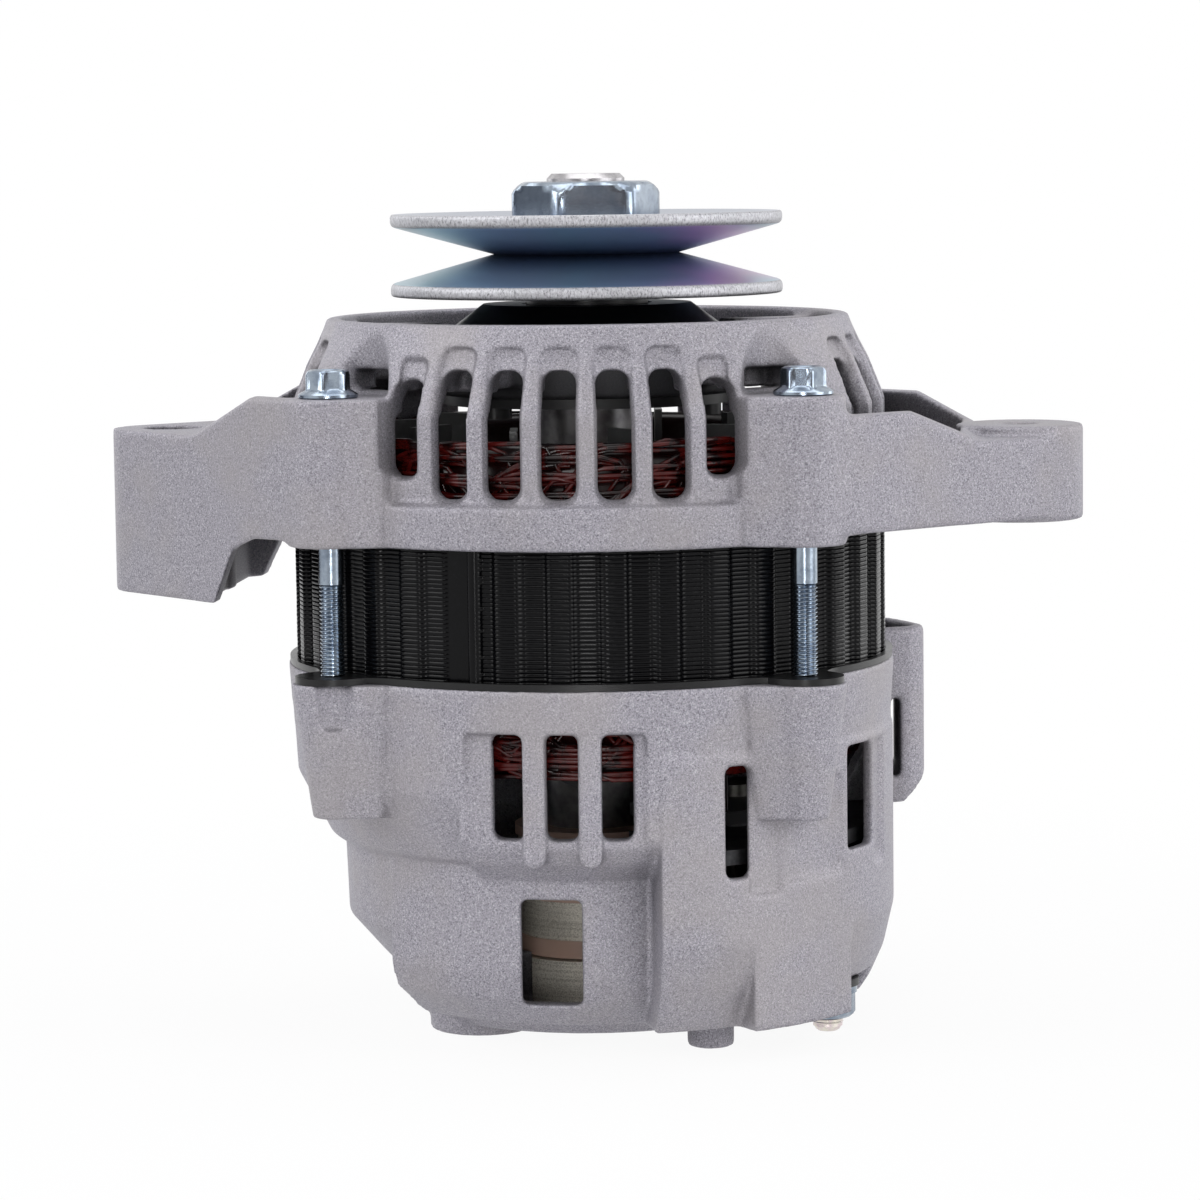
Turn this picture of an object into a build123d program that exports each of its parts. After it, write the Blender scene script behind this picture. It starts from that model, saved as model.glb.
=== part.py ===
from build123d import *
import math
import os

# Belt-driven alternator. The shaft lies along Z with the pulley at the top, the origin is on the
# shaft axis at the middle of the belt groove, and the two mounting ears lie along X.
# All sizes are millimetres, all angles are degrees counted from +X.

# Pulley and shaft end
pulley_r = 40.25
pulley_sheet = 2.7
groove_root_r = 19.0
groove_flare = 15.5
bearing_shaft_r = 8.5
thread_r = 8.0
shaft_tip_above_nut = 1.6
nut_across_flats = 27.0
nut_height = 9.0
washer_height = 3.0
washer_r = 13.4
spacer_r = 12.6
spacer_length = 13.7
fit = 0.02

# Ball bearings
front_bearing_r = 20.0
front_bearing_width = 12.0
front_ball_r = 3.4
front_ball_count = 8
rear_bearing_r = 17.5
rear_bearing_width = 11.0
rear_ball_r = 3.0
rear_ball_count = 8
rear_journal_r = 7.5
ball_gap = 0.06
cage_wall = 0.7
cage_gap = 0.35

# Front bracket
hub_lip = 1.0
hub_lip_r = 17.5
hub_r = 32.0
face_ring_inner_r = 50.3
face_ring_r = 53.5
face_depth = 4.0
face_above_bearing = 3.8
bracket_wall = 3.2
skirt_r = 63.0
wall_r = 61.0
shoulder_drop = 17.4
parting_drop = 34.4
retainer_sheet = 2.0
retainer_r = 30.0
retainer_screw_circle_r = 25.0
retainer_screw_count = 3
retainer_first_angle = -14.0
retainer_thread = 9.0
m4_r = 2.0
m4_head_r = 3.6
m4_head_height = 2.4

# Ventilation slots of the front bracket
slot_pitch = 10.5
slot_width = 6.6
slot_top_drop = 8.8
slot_bottom_drop = 33.5
end_slot_trim = 4.2
rib_depth = 1.5
rib_crest = 3.4
groove_rise = 4.6
window_count = 5
window_first_angle = -78.0
spoke_width = 4.6
spoke_drop = 1.6
window_corner_r = 3.0

# Through bolts, M5 with a flanged hexagon head
bolt_circle_r = 66.0
bolt_count = 4
bolt_first_angle = 45.0
bolt_r = 2.5
bolt_hole_gap = 0.25
bolt_across_flats = 8.0
bolt_head_height = 5.6
bolt_flange_r = 5.9
bolt_flange_height = 1.1
bolt_seat_drop = 14.2
lobe_r = 8.3
head_pocket_r = 12.0
pocket_wall = 2.6
pocket_window_half = 6.0
bolt_engagement = 15.0

# Pivot ear
pivot_x = -86.9
pivot_boss_r = 12.5
pivot_hole_r = 6.1
pivot_top_drop = 22.7
pivot_length = 33.7
ear_web = 5.0
ear_skin = 4.5
ear_recess = 1.5

# Adjusting ear
adjuster_x = 88.4
adjuster_boss_r = 13.0
adjuster_hole_r = 3.4
adjuster_top_drop = 22.9
adjuster_length = 19.5
adjuster_web_dip = 2.0

# Stator
core_r = 61.0
core_bore_r = 45.2
core_length = 31.0
core_front_drop = 41.4
core_seat = 2.0
core_slot_count = 36
core_slot_r = 55.0
core_slot_width = 4.2
flute_count = 36
flute_width = 3.0
flute_depth = 0.9
winding_inner_r = 47.4
winding_outer_r = 57.2
front_end_turn = 19.8
rear_end_turn = 17.6
winding_gap = 0.25

# Rotor
pole_count = 6
pole_r = 44.6
pole_length = 51.0
pole_disc_r = 36.0
pole_disc_thickness = 12.0
pole_core_r = 20.0
pole_root_width = 20.0
pole_tip_width = 9.0
pole_tip_thickness = 3.6
pole_tip_short = 3.0
rotor_shaft_r = 11.0
bobbin_wall = 1.2
coil_r = 34.2
fan_sheet = 1.5
fan_r = 43.0
fan_hub_r = 31.0
fan_blade_height = 8.5
front_blade_count = 10
rear_blade_count = 12
fan_blade_twist = 24.0

# Slip rings and brushes
slip_ring_r = 15.8
slip_ring_inner_r = 13.6
slip_ring_length = 8.0
slip_ring_space = 4.5
slip_journal_r = 9.0
collar_r = 16.4
collar_width = 4.0
brush_thickness = 5.0
brush_width = 8.0
brush_length = 13.0
brush_gap = 0.05
brush_side_gap = 0.15
brush_travel = 3.5
holder_standoff = 3.2
holder_wall = 2.0
holder_end_wall = 2.0
holder_flange = 3.0
holder_screw_x = -31.0
holder_screw_y = 15.0
regulator_depth = 9.5
regulator_height = 14.0
regulator_half_width = 12.0
regulator_flange = 2.5
spring_r = 1.9
spring_solid_length = 1.6

# Rear bracket
rim_r = 62.6
rear_wall = 3.0
rear_cap = 2.2
rear_cap_r = 16.0
rear_hub_r = 22.5
rear_end_drop = 2.2
pad_height = 2.5
housing_r = 62.3
housing_wall = 2.5
housing_start = -72.0
housing_end = 20.0
housing_lift = 3.5
front_block_r = 52.5
front_block_start = 224.0
lobe_depth = 27.0
lobe_draft = 8.0
notch_r = 4.6
notch_depth = 9.0
notch_place = (72.2, 231.2)
upper_tier_r = 61.2
middle_tier_r = 51.0
lower_tier_r = 41.0
end_face_r = 36.5
apron_r = 61.3
side_pocket_r = 74.2
side_pocket_start = 20.0
side_pocket_end = 38.0
side_pocket_depth = 34.5
side_pocket_rise = 3.0
side_pocket_wall = 2.4
side_pocket_round = 5.0
side_pocket_bevel = 6.0
upper_tier_drop = 22.0
tier_step_drop = 35.0
tier_step = 2.0
middle_tier_drop = 52.0
lower_tier_drop = 59.5
tier_flare = 3.5
housing_top_drop = 14.0
housing_shoulder_drop = 51.0
block_top_drop = 33.0
apron_top_drop = 6.0
apron_bottom_drop = 39.0
relief_depth = 1.0
view_turn = 5.6
rear_slot_pitch = 10.3
rear_slot_width = 6.2

# Rectifier and output stud
sink_sheet = 3.0
sink_inner_r = 27.0
sink_outer_r = 58.5
sink_start = -69.0
sink_end = 16.8
board_outer_r = 50.0
board_sheet = 2.5
board_gap = 3.5
sink_gap = 8.0
diode_r = 6.35
diode_height = 5.0
diode_lead_r = 0.7
rectifier_post_r = 4.0
stud_r = 3.0
stud_angle = -21.9
stud_circle_r = 53.2
stud_hole_r = 4.6
stud_nut_across_flats = 10.0
stud_nut_height = 5.0
stud_flange_r = 6.4
recess_depth = 5.4
recess_inner_r = 45.0
recess_start = -41.0
screen_start = -54.0
screen_end = -28.3
recess_end = -8.0

# Signal socket in the end face, away from the output stud
socket_spot = (-9.0, 28.0)
socket_size = (15.6, 10.6)
socket_wall = 1.5
socket_floor = 2.5
socket_proud = 1.2
socket_depth = 9.0
blade_size = (0.8, 5.6)
blade_space = 6.6
blade_length = 12.0

# Heights worked out along the shaft, from the pulley down
spacer_bottom = -pulley_sheet - spacer_length
front_bearing_bottom = spacer_bottom - front_bearing_width
washer_bottom = pulley_sheet
nut_bottom = washer_bottom + washer_height
nut_top = nut_bottom + nut_height
shaft_top = nut_top + shaft_tip_above_nut
face_z = spacer_bottom + face_above_bearing
seat_z = face_z - bolt_seat_drop
parting_z = face_z - parting_drop
core_top = face_z - core_front_drop
core_bottom = core_top - core_length
skirt_bottom = core_top - core_seat
rim_z = core_bottom + core_seat
core_middle = (core_top + core_bottom) / 2
pole_top = core_middle + pole_length / 2
pole_bottom = core_middle - pole_length / 2
rear_fan_bottom = pole_bottom - fan_sheet - fan_blade_height
winding_top = core_top + front_end_turn
winding_bottom = core_bottom - rear_end_turn

# Heights below the rotor
first_ring_top = rear_fan_bottom - 15.0
second_ring_top = first_ring_top - slip_ring_length - slip_ring_space
collar_top = second_ring_top - slip_ring_length
rear_bearing_top = collar_top - collar_width
rear_bearing_bottom = rear_bearing_top - rear_bearing_width
cap_z = rear_bearing_bottom - rear_cap
end_z = cap_z + rear_end_drop
pad_z = end_z - pad_height
housing_z = end_z + housing_lift
housing_cavity_z = housing_z + rear_wall
terminal_top = rear_fan_bottom - 5.0

bolt_angles = [bolt_first_angle + 360 / bolt_count * i for i in range(bolt_count)]


def polar(radius, angle):
    """Point at a radius and an angle in the XY plane."""
    return (radius * math.cos(math.radians(angle)), radius * math.sin(math.radians(angle)))


def ring(inner_r, outer_r, bottom, top):
    """Plain tube between two heights, or a disc where inner_r is zero."""
    with BuildPart() as tube:
        with BuildSketch(Plane.XY.offset(bottom)):
            Circle(outer_r)
            if inner_r > 0:
                Circle(inner_r, mode=Mode.SUBTRACT)
        extrude(amount=top - bottom)
    return tube.part


def peg(centre, radius, bottom, top):
    """Upright cylinder."""
    with BuildPart() as post:
        with BuildSketch(Plane.XY.offset(bottom)):
            with Locations(centre):
                Circle(radius)
        extrude(amount=top - bottom)
    return post.part


def hexagon(centre, across_flats, bottom, top, turn=0.0):
    """Upright hexagonal prism."""
    with BuildPart() as prism:
        with BuildSketch(Plane.XY.offset(bottom)):
            with Locations(centre):
                RegularPolygon(across_flats / 2, 6, major_radius=False, rotation=turn)
        extrude(amount=top - bottom)
    return prism.part


def sector(inner_r, outer_r, start, end, bottom, top):
    """Upright piece of a tube between two angles."""
    with BuildPart() as piece:
        with BuildSketch(Plane.XY.offset(bottom)):
            with BuildLine():
                outer = CenterArc((0, 0), outer_r, start, end - start)
                inner = CenterArc((0, 0), inner_r, start, end - start)
                Line(outer @ 0, inner @ 0)
                Line(outer @ 1, inner @ 1)
            make_face()
        extrude(amount=top - bottom)
    return piece.part


def turned(points, start=0.0, sweep_angle=360.0):
    """Solid of revolution about Z from a closed outline of (radius, height) points."""
    with BuildPart() as body:
        with BuildSketch(Plane.XZ.rotated((0, 0, start))):
            with BuildLine():
                Polyline(*points, close=True)
            make_face()
        revolve(axis=Axis.Z, revolution_arc=sweep_angle)
    return body.part


def radial_slot(angle, width, bottom, top, inner_r, outer_r, corner):
    """Rounded upright opening that points outward from the shaft axis."""
    plane = Plane.XZ.rotated((0, 0, angle + 90)).offset(inner_r)
    with BuildPart() as cutter:
        with BuildSketch(plane):
            with Locations((0, (top + bottom) / 2)):
                RectangleRounded(width, top - bottom, corner)
        extrude(amount=outer_r - inner_r)
    return cutter.part


def write(builder, label):
    """Label a finished piece and write its STEP file."""
    builder.part.label = label
    export_step(builder.part, f"parts/{label}.step")


os.makedirs("parts", exist_ok=True)


# Pulley: two pressed sheet discs back to back
flare_rise = (pulley_r - groove_root_r) * math.tan(math.radians(groove_flare))
pulley_bore_r = bearing_shaft_r + fit


def pulley_half(side):
    """One pressed disc; side is 1 for the nut side and -1 for the bracket side."""
    outline = [
        (pulley_bore_r, 0),
        (groove_root_r, 0),
        (pulley_r, side * flare_rise),
        (pulley_r, side * (flare_rise + pulley_sheet)),
        (groove_root_r, side * pulley_sheet),
        (pulley_bore_r, side * pulley_sheet),
    ]
    return turned(outline)


with BuildPart() as pulley_front_half:
    add(pulley_half(1))
write(pulley_front_half, "pulley_front_half")

with BuildPart() as pulley_rear_half:
    add(pulley_half(-1))
write(pulley_rear_half, "pulley_rear_half")

# Pulley nut with chamfered corners
nut_corner_r = nut_across_flats / 2 / math.cos(math.radians(30))
nut_chamfer = 1.5
with BuildPart() as pulley_nut:
    add(hexagon((0, 0), nut_across_flats, nut_bottom, nut_top, turn=13.2))
    with BuildSketch(Plane.XZ):
        with BuildLine():
            Polyline(
                (0, nut_bottom),
                (nut_corner_r, nut_bottom),
                (nut_corner_r, nut_top - nut_chamfer),
                (nut_corner_r - 2 * nut_chamfer, nut_top),
                (0, nut_top),
                close=True,
            )
        make_face()
    revolve(axis=Axis.Z, mode=Mode.INTERSECT)
    Cylinder(thread_r + fit, 4 * nut_height, mode=Mode.SUBTRACT)
write(pulley_nut, "pulley_nut")

# Split spring washer under the nut
with BuildPart() as pulley_lock_washer:
    add(ring(bearing_shaft_r + fit, washer_r, washer_bottom, nut_bottom))
    with BuildSketch(Plane.XY.offset(washer_bottom)):
        with Locations((washer_r, 0)):
            Rectangle(washer_r, 1.2, rotation=20)
    extrude(amount=washer_height, mode=Mode.SUBTRACT)
write(pulley_lock_washer, "pulley_lock_washer")

# Collar between the pulley and the front bearing
with BuildPart() as front_spacer:
    add(ring(bearing_shaft_r + fit, spacer_r, spacer_bottom, -pulley_sheet))
write(front_spacer, "front_spacer")

# Shaft, stepped from the thread at the top to the rear journal
shaft_bottom = rear_bearing_bottom + 0.6
tip_chamfer = 1.0
thread_bottom = washer_bottom + 1.0
slip_journal_top = first_ring_top + 2.0
with BuildPart() as rotor_shaft:
    shaft_outline = [
        (0, shaft_top),
        (thread_r - tip_chamfer, shaft_top),
        (thread_r, shaft_top - tip_chamfer),
        (thread_r, thread_bottom),
        (bearing_shaft_r, thread_bottom),
        (bearing_shaft_r, front_bearing_bottom),
        (rotor_shaft_r, front_bearing_bottom),
        (rotor_shaft_r, rear_fan_bottom),
        (slip_journal_r + 1, rear_fan_bottom),
        (slip_journal_r + 1, slip_journal_top),
        (slip_journal_r, slip_journal_top),
        (slip_journal_r, rear_bearing_top),
        (rear_journal_r, rear_bearing_top),
        (rear_journal_r, shaft_bottom),
        (0, shaft_bottom),
    ]
    add(turned(shaft_outline))
write(rotor_shaft, "rotor_shaft")


# Ball bearings: two races with grooves, balls and a pocketed cage
def race_groove(pitch_r, groove_r, middle):
    """Torus that cuts the ball groove in both races."""
    with BuildPart() as groove:
        with BuildSketch(Plane.XZ):
            with Locations((pitch_r, middle)):
                Circle(groove_r)
        revolve(axis=Axis.Z)
    return groove.part


def bearing_pieces(bore_r, outside_r, width, ball_r, count, top, name):
    """Write one bearing's outer race, inner race, balls and cage."""
    middle = top - width / 2
    pitch_r = (bore_r + outside_r) / 2
    land = ball_r * 0.55
    groove = race_groove(pitch_r, ball_r + ball_gap, middle)
    with BuildPart() as outer_race:
        add(ring(pitch_r + land, outside_r, top - width, top))
        add(groove, mode=Mode.SUBTRACT)
    write(outer_race, f"{name}_outer_race")
    with BuildPart() as inner_race:
        add(ring(bore_r, pitch_r - land, top - width, top))
        add(groove, mode=Mode.SUBTRACT)
    write(inner_race, f"{name}_inner_race")
    with BuildPart() as balls:
        with Locations((0, 0, middle)):
            with PolarLocations(pitch_r, count):
                Sphere(ball_r)
    write(balls, f"{name}_balls")
    half_height = ball_r + cage_wall
    with BuildPart() as cage:
        cage_half = land - cage_gap
        add(ring(pitch_r - cage_half, pitch_r + cage_half, middle - half_height, middle + half_height))
        for i in range(count):
            with BuildSketch(Plane.XZ.rotated((0, 0, 360 / count * i + 90))):
                with Locations((0, middle)):
                    Circle(ball_r + ball_gap)
            extrude(amount=pitch_r + 2 * land, mode=Mode.SUBTRACT)
    write(cage, f"{name}_cage")


bearing_pieces(
    bearing_shaft_r,
    front_bearing_r,
    front_bearing_width,
    front_ball_r,
    front_ball_count,
    spacer_bottom,
    "front_bearing",
)
bearing_pieces(
    rear_journal_r,
    rear_bearing_r,
    rear_bearing_width,
    rear_ball_r,
    rear_ball_count,
    rear_bearing_top,
    "rear_bearing",
)

def crossed(plan, side, corner=0.0):
    """Solid that has one outline seen from above and another seen from the front."""
    low = min(z for _, z in side)
    high = max(z for _, z in side)
    reach = max(abs(y) for _, y in plan) + 1
    with BuildPart() as solid:
        with BuildSketch(Plane.XY.offset(low)) as outline:
            with BuildLine():
                Polyline(*plan, close=True)
            make_face()
            if corner > 0:
                fillet(outline.vertices(), corner)
        extrude(amount=high - low)
        with BuildSketch(Plane.XZ):
            with BuildLine():
                Polyline(*side, close=True)
            make_face()
        extrude(amount=reach, both=True, mode=Mode.INTERSECT)
    return solid.part


def mirrored(points):
    """Closed plan outline from its +Y half."""
    return points + [(x, -y) for x, y in reversed(points)]


def ear_plan(centre_x, boss_r, inset):
    """Outline between an ear's boss and its two bolt lobes, moved inward by inset."""
    side = math.copysign(1, centre_x)
    lobe_x, lobe_y = polar(bolt_circle_r, bolt_first_angle)
    run = abs(centre_x) - lobe_x
    tilt = math.atan2(run, lobe_y) + math.asin((boss_r - lobe_r) / math.hypot(run, lobe_y))
    across = (math.cos(tilt), math.sin(tilt))
    boss_touch = (centre_x + side * (boss_r - inset) * across[0], (boss_r - inset) * across[1])
    lobe_touch = (side * (lobe_x + (lobe_r - inset) * across[0]), lobe_y + (lobe_r - inset) * across[1])
    return boss_touch, lobe_touch, (side * (lobe_x - lobe_r + inset), lobe_touch[1])


def lobe(angle, bottom, top, draft=0.0):
    """Bolt boss that stands out of the round wall on a broad foot; draft narrows it downwards."""
    centre = polar(bolt_circle_r, angle)
    foot = 1.5 * lobe_r
    inner = bolt_circle_r - 1.6 * lobe_r
    with BuildPart() as boss:
        with BuildSketch(Plane.XY.offset(top)):
            with Locations(centre):
                Circle(lobe_r)
            with BuildLine(Plane.XY.rotated((0, 0, angle))):
                Polyline(
                    (inner, -foot),
                    (bolt_circle_r - 0.4 * lobe_r, -foot),
                    (bolt_circle_r + 0.3 * lobe_r, -0.95 * lobe_r),
                    (bolt_circle_r + 0.3 * lobe_r, 0.95 * lobe_r),
                    (bolt_circle_r - 0.4 * lobe_r, foot),
                    (inner, foot),
                    close=True,
                )
            make_face()
        extrude(amount=bottom - top, taper=draft)
    return boss.part


# Front bracket, the outside
pivot_top = face_z - pivot_top_drop
pivot_bottom = pivot_top - pivot_length
adjuster_top = face_z - adjuster_top_drop
adjuster_bottom = adjuster_top - adjuster_length
pivot_end = pivot_x - pivot_boss_r
pivot_shoulder = pivot_x + 0.75 * pivot_boss_r
pivot_inner = pivot_x + 1.1 * pivot_boss_r
adjuster_end = adjuster_x + adjuster_boss_r
adjuster_web_z = seat_z - 4.0
pivot_side = [
    (pivot_end, pivot_top),
    (pivot_shoulder, pivot_top),
    (-skirt_r, seat_z),
    (0, seat_z),
    (0, skirt_bottom + 2.5),
    (-skirt_r, skirt_bottom + 1.0),
    (pivot_inner + 5, skirt_bottom - 1.5),
    (pivot_inner, pivot_bottom),
    (pivot_end, pivot_bottom),
]
adjuster_side = [
    (adjuster_end, adjuster_top - adjuster_web_dip),
    (adjuster_x - 0.6 * adjuster_boss_r, adjuster_top - adjuster_web_dip),
    (skirt_r + 4, adjuster_web_z),
    (0, adjuster_web_z),
    (0, adjuster_bottom + 1),
    (adjuster_end, adjuster_bottom + 1),
]
pivot_plan = mirrored(list(ear_plan(pivot_x, pivot_boss_r, 0)))
adjuster_plan = mirrored(list(ear_plan(adjuster_x, adjuster_boss_r, 0)))
pivot_touch, pivot_lobe_touch, _ = ear_plan(pivot_x, pivot_boss_r, ear_web)
adjuster_touch, adjuster_lobe_touch, _ = ear_plan(adjuster_x, adjuster_boss_r, ear_web)


def hollow_plan(touch, lobe_touch, boss_x, boss_r):
    """Plan of the space between an ear's webs, from just inside the boss to inside the wall."""
    side = math.copysign(1, boss_x)
    slope = (lobe_touch[1] - touch[1]) / (lobe_touch[0] - touch[0])
    near = boss_x - side * (boss_r - 1.0)
    far = lobe_touch[0] - side * lobe_r
    return mirrored([(near, touch[1] + slope * (near - touch[0])), lobe_touch, (far, lobe_touch[1])])


pivot_hollow = hollow_plan(pivot_touch, pivot_lobe_touch, pivot_x, pivot_boss_r)
adjuster_hollow = hollow_plan(adjuster_touch, adjuster_lobe_touch, adjuster_x, adjuster_boss_r)
skin_near = pivot_top - ear_recess
skin_far = seat_z - ear_recess - 3.0
pivot_recess_side = [
    (pivot_end, skin_near),
    (pivot_shoulder, skin_near),
    (-skirt_r, skin_far),
    (0, skin_far),
    (0, seat_z + 5),
    (pivot_end, seat_z + 5),
]
pivot_under_side = [
    (pivot_end, skin_near - ear_skin),
    (pivot_shoulder, skin_near - ear_skin),
    (-skirt_r, skin_far - ear_skin),
    (0, skin_far - ear_skin),
    (0, pivot_bottom - 1),
    (pivot_end, pivot_bottom - 1),
]

bell_outline = [
    (0, face_z),
    (face_ring_r, face_z),
    (face_ring_r + 0.6, face_z - 1.9),
    (face_ring_r + 2.1, face_z - 5.1),
    (face_ring_r + 4.3, face_z - 9.3),
    (wall_r, face_z - shoulder_drop),
    (wall_r, parting_z),
    (skirt_r, parting_z - 0.6),
    (skirt_r, skirt_bottom),
    (0, skirt_bottom),
]
bell_cavity = [
    (0, face_z - face_depth),
    (face_ring_r - bracket_wall - 2, face_z - face_depth),
    (wall_r - bracket_wall - 3.6, face_z - shoulder_drop + 4),
    (wall_r - bracket_wall, face_z - shoulder_drop - 1),
    (wall_r - bracket_wall, core_top),
    (core_r, core_top),
    (core_r, skirt_bottom),
    (0, skirt_bottom),
]
slot_top = face_z - slot_top_drop
slot_bottom = face_z - slot_bottom_drop
# Each group: middle angle, number of slots, top, bottom
slot_groups = [
    (-90, 7, slot_top, slot_bottom),
    (90, 7, slot_top, slot_bottom),
    (0, 5, slot_top, adjuster_web_z - 7),
    (180, 5, slot_top, skin_far - 1.5),
]
corner_r = 2.4


def slots(bottom_extra, top_extra, width, inner_r, outer_r):
    """Cutters for every ventilation slot of the front bracket."""
    cutters = []
    for middle, count, top, bottom in slot_groups:
        for i in range(count):
            at_end = count > 5 and i in (0, count - 1)
            trim = end_slot_trim if at_end else 0.0
            angle = middle + (i - (count - 1) / 2) * slot_pitch
            low = bottom + trim - bottom_extra
            high = top - trim / 2 + top_extra
            cutters.append(radial_slot(angle, width, low, high, inner_r, outer_r, corner_r))
    return cutters


groove_width = 2 * math.pi * wall_r * slot_pitch / 360 - rib_crest
spoke_angles = [window_first_angle + 360 / window_count * (i + 0.5) for i in range(window_count)]
hub_top = spacer_bottom + hub_lip
hub_rib_bottom = front_bearing_bottom + 2.5
groove_skin = turned(
    [
        (face_ring_r - rib_depth, face_z),
        (face_ring_r + 2.1 - rib_depth, face_z - 5.1),
        (face_ring_r + 4.3 - rib_depth, face_z - 9.3),
        (wall_r - rib_depth, face_z - shoulder_drop),
        (wall_r - rib_depth, parting_z),
        (wall_r + 4, parting_z),
        (wall_r + 4, face_z),
    ]
)


def both_ears():
    """Pivot ear and adjusting ear with their bosses, holes and hollows."""
    with BuildPart() as pair:
        add(crossed(pivot_plan, pivot_side))
        add(crossed(pivot_hollow, pivot_recess_side, corner_r), mode=Mode.SUBTRACT)
        add(crossed(pivot_hollow, pivot_under_side, corner_r), mode=Mode.SUBTRACT)
        add(crossed(adjuster_plan, adjuster_side))
        add(crossed(adjuster_hollow, adjuster_open_side, corner_r), mode=Mode.SUBTRACT)
        add(ring(0, wall_r - 1, pivot_bottom, face_z), mode=Mode.SUBTRACT)
        add(peg((pivot_x, 0), pivot_boss_r, pivot_bottom, pivot_top))
        add(peg((adjuster_x, 0), adjuster_boss_r, adjuster_bottom, adjuster_top))
        add(peg((pivot_x, 0), pivot_hole_r, pivot_bottom, pivot_top), mode=Mode.SUBTRACT)
        add(peg((adjuster_x, 0), adjuster_hole_r, adjuster_bottom, adjuster_top), mode=Mode.SUBTRACT)
    return pair.part


def pocket_liners():
    """Round walls and floors behind the bolt heads, inside the bell."""
    with BuildPart() as liners:
        for angle in bolt_angles:
            centre = polar(bolt_circle_r, angle)
            add(peg(centre, head_pocket_r + pocket_wall, seat_z - bracket_wall, face_z))
        add(turned(bell_outline), mode=Mode.INTERSECT)
    return liners.part


def face_opening():
    """Space between the face ring and the hub, crossed by the spokes."""
    with BuildPart() as cutter:
        with BuildSketch(Plane.XY.offset(hub_rib_bottom)) as outline:
            Circle(face_ring_inner_r)
            Circle(hub_r, mode=Mode.SUBTRACT)
            spoke_length = face_ring_inner_r - hub_r + 8
            for angle in spoke_angles:
                with Locations(polar((hub_r + face_ring_inner_r) / 2, angle)):
                    Rectangle(spoke_length, spoke_width, rotation=angle, mode=Mode.SUBTRACT)
            fillet(outline.vertices(), window_corner_r)
        extrude(amount=face_z + 1 - hub_rib_bottom)
    return cutter.part


retainer_screw_angles = [
    retainer_first_angle + 360 / retainer_screw_count * i for i in range(retainer_screw_count)
]
adjuster_open_side = [
    (adjuster_end, adjuster_bottom - 1),
    (0, adjuster_bottom - 1),
    (0, seat_z + 5),
    (adjuster_end, seat_z + 5),
]
with BuildPart() as front_bracket:
    add(turned(bell_outline))
    for cutter in slots(0.6, groove_rise, groove_width, wall_r - 12, wall_r + 3):
        add(cutter & groove_skin, mode=Mode.SUBTRACT)
    add(both_ears())
    for angle in bolt_angles:
        add(lobe(angle, skirt_bottom, seat_z))
    add(turned(bell_cavity), mode=Mode.SUBTRACT)
    add(pocket_liners())
    add(ring(0, face_ring_r - 1, hub_rib_bottom, face_z - spoke_drop))
    add(ring(0, hub_r, front_bearing_bottom, hub_rib_bottom))
    add(face_opening(), mode=Mode.SUBTRACT)
    add(ring(0, face_ring_inner_r, face_z - spoke_drop, face_z + 1), mode=Mode.SUBTRACT)
    add(ring(0, hub_r, hub_top, face_z + 1), mode=Mode.SUBTRACT)
    for cutter in slots(0, 0, slot_width, wall_r - 12, wall_r + 3):
        add(cutter, mode=Mode.SUBTRACT)
    for angle in bolt_angles:
        centre = polar(bolt_circle_r, angle)
        add(peg(centre, head_pocket_r, seat_z, face_z + 1), mode=Mode.SUBTRACT)
        add(peg(centre, bolt_r + bolt_hole_gap, skirt_bottom, seat_z), mode=Mode.SUBTRACT)
        add(
            sector(
                bolt_circle_r - head_pocket_r - pocket_wall - 2,
                bolt_circle_r - head_pocket_r + 2,
                angle - pocket_window_half,
                angle + pocket_window_half,
                seat_z + 1.0,
                seat_z + 5.0,
            ),
            mode=Mode.SUBTRACT,
        )
    add(ring(0, front_bearing_r, front_bearing_bottom, spacer_bottom), mode=Mode.SUBTRACT)
    add(ring(0, hub_lip_r, spacer_bottom, hub_top), mode=Mode.SUBTRACT)
    for angle in retainer_screw_angles:
        spot = polar(retainer_screw_circle_r, angle)
        thread_end = front_bearing_bottom + retainer_thread
        add(peg(spot, m4_r, front_bearing_bottom, thread_end), mode=Mode.SUBTRACT)
write(front_bracket, "front_bracket")

# Retainer plate behind the front bearing, with its three screws
retainer_bottom = front_bearing_bottom - retainer_sheet
with BuildPart() as bearing_retainer:
    add(ring(front_bearing_r - 3.5, retainer_r, retainer_bottom, front_bearing_bottom))
    for angle in retainer_screw_angles:
        spot = polar(retainer_screw_circle_r, angle)
        add(peg(spot, m4_r, retainer_bottom, front_bearing_bottom), mode=Mode.SUBTRACT)
write(bearing_retainer, "bearing_retainer")


def screw(centre, seat, direction, length, radius=m4_r, head_r=m4_head_r, head_height=m4_head_height):
    """Pan-head screw; its head stands from the seat against direction, its shank runs along it."""
    head_end = seat - direction * head_height
    shank_end = seat + direction * length
    with BuildPart() as fastener:
        add(peg(centre, head_r, min(seat, head_end), max(seat, head_end)))
        add(peg(centre, radius, min(seat, shank_end), max(seat, shank_end)))
    return fastener.part


with BuildPart() as retainer_screws:
    for angle in retainer_screw_angles:
        spot = polar(retainer_screw_circle_r, angle)
        add(screw(spot, retainer_bottom, 1, retainer_sheet + retainer_thread - 1))
write(retainer_screws, "retainer_screws")

# Through bolts with flanged heads
bolt_bottom = rim_z - bolt_engagement
with BuildPart() as through_bolts:
    for angle in bolt_angles:
        centre = polar(bolt_circle_r, angle)
        add(peg(centre, bolt_flange_r, seat_z, seat_z + bolt_flange_height))
        add(hexagon(centre, bolt_across_flats, seat_z, seat_z + bolt_head_height, turn=angle / 3))
        add(peg(centre, bolt_r, bolt_bottom, seat_z))
write(through_bolts, "through_bolts")

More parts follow.
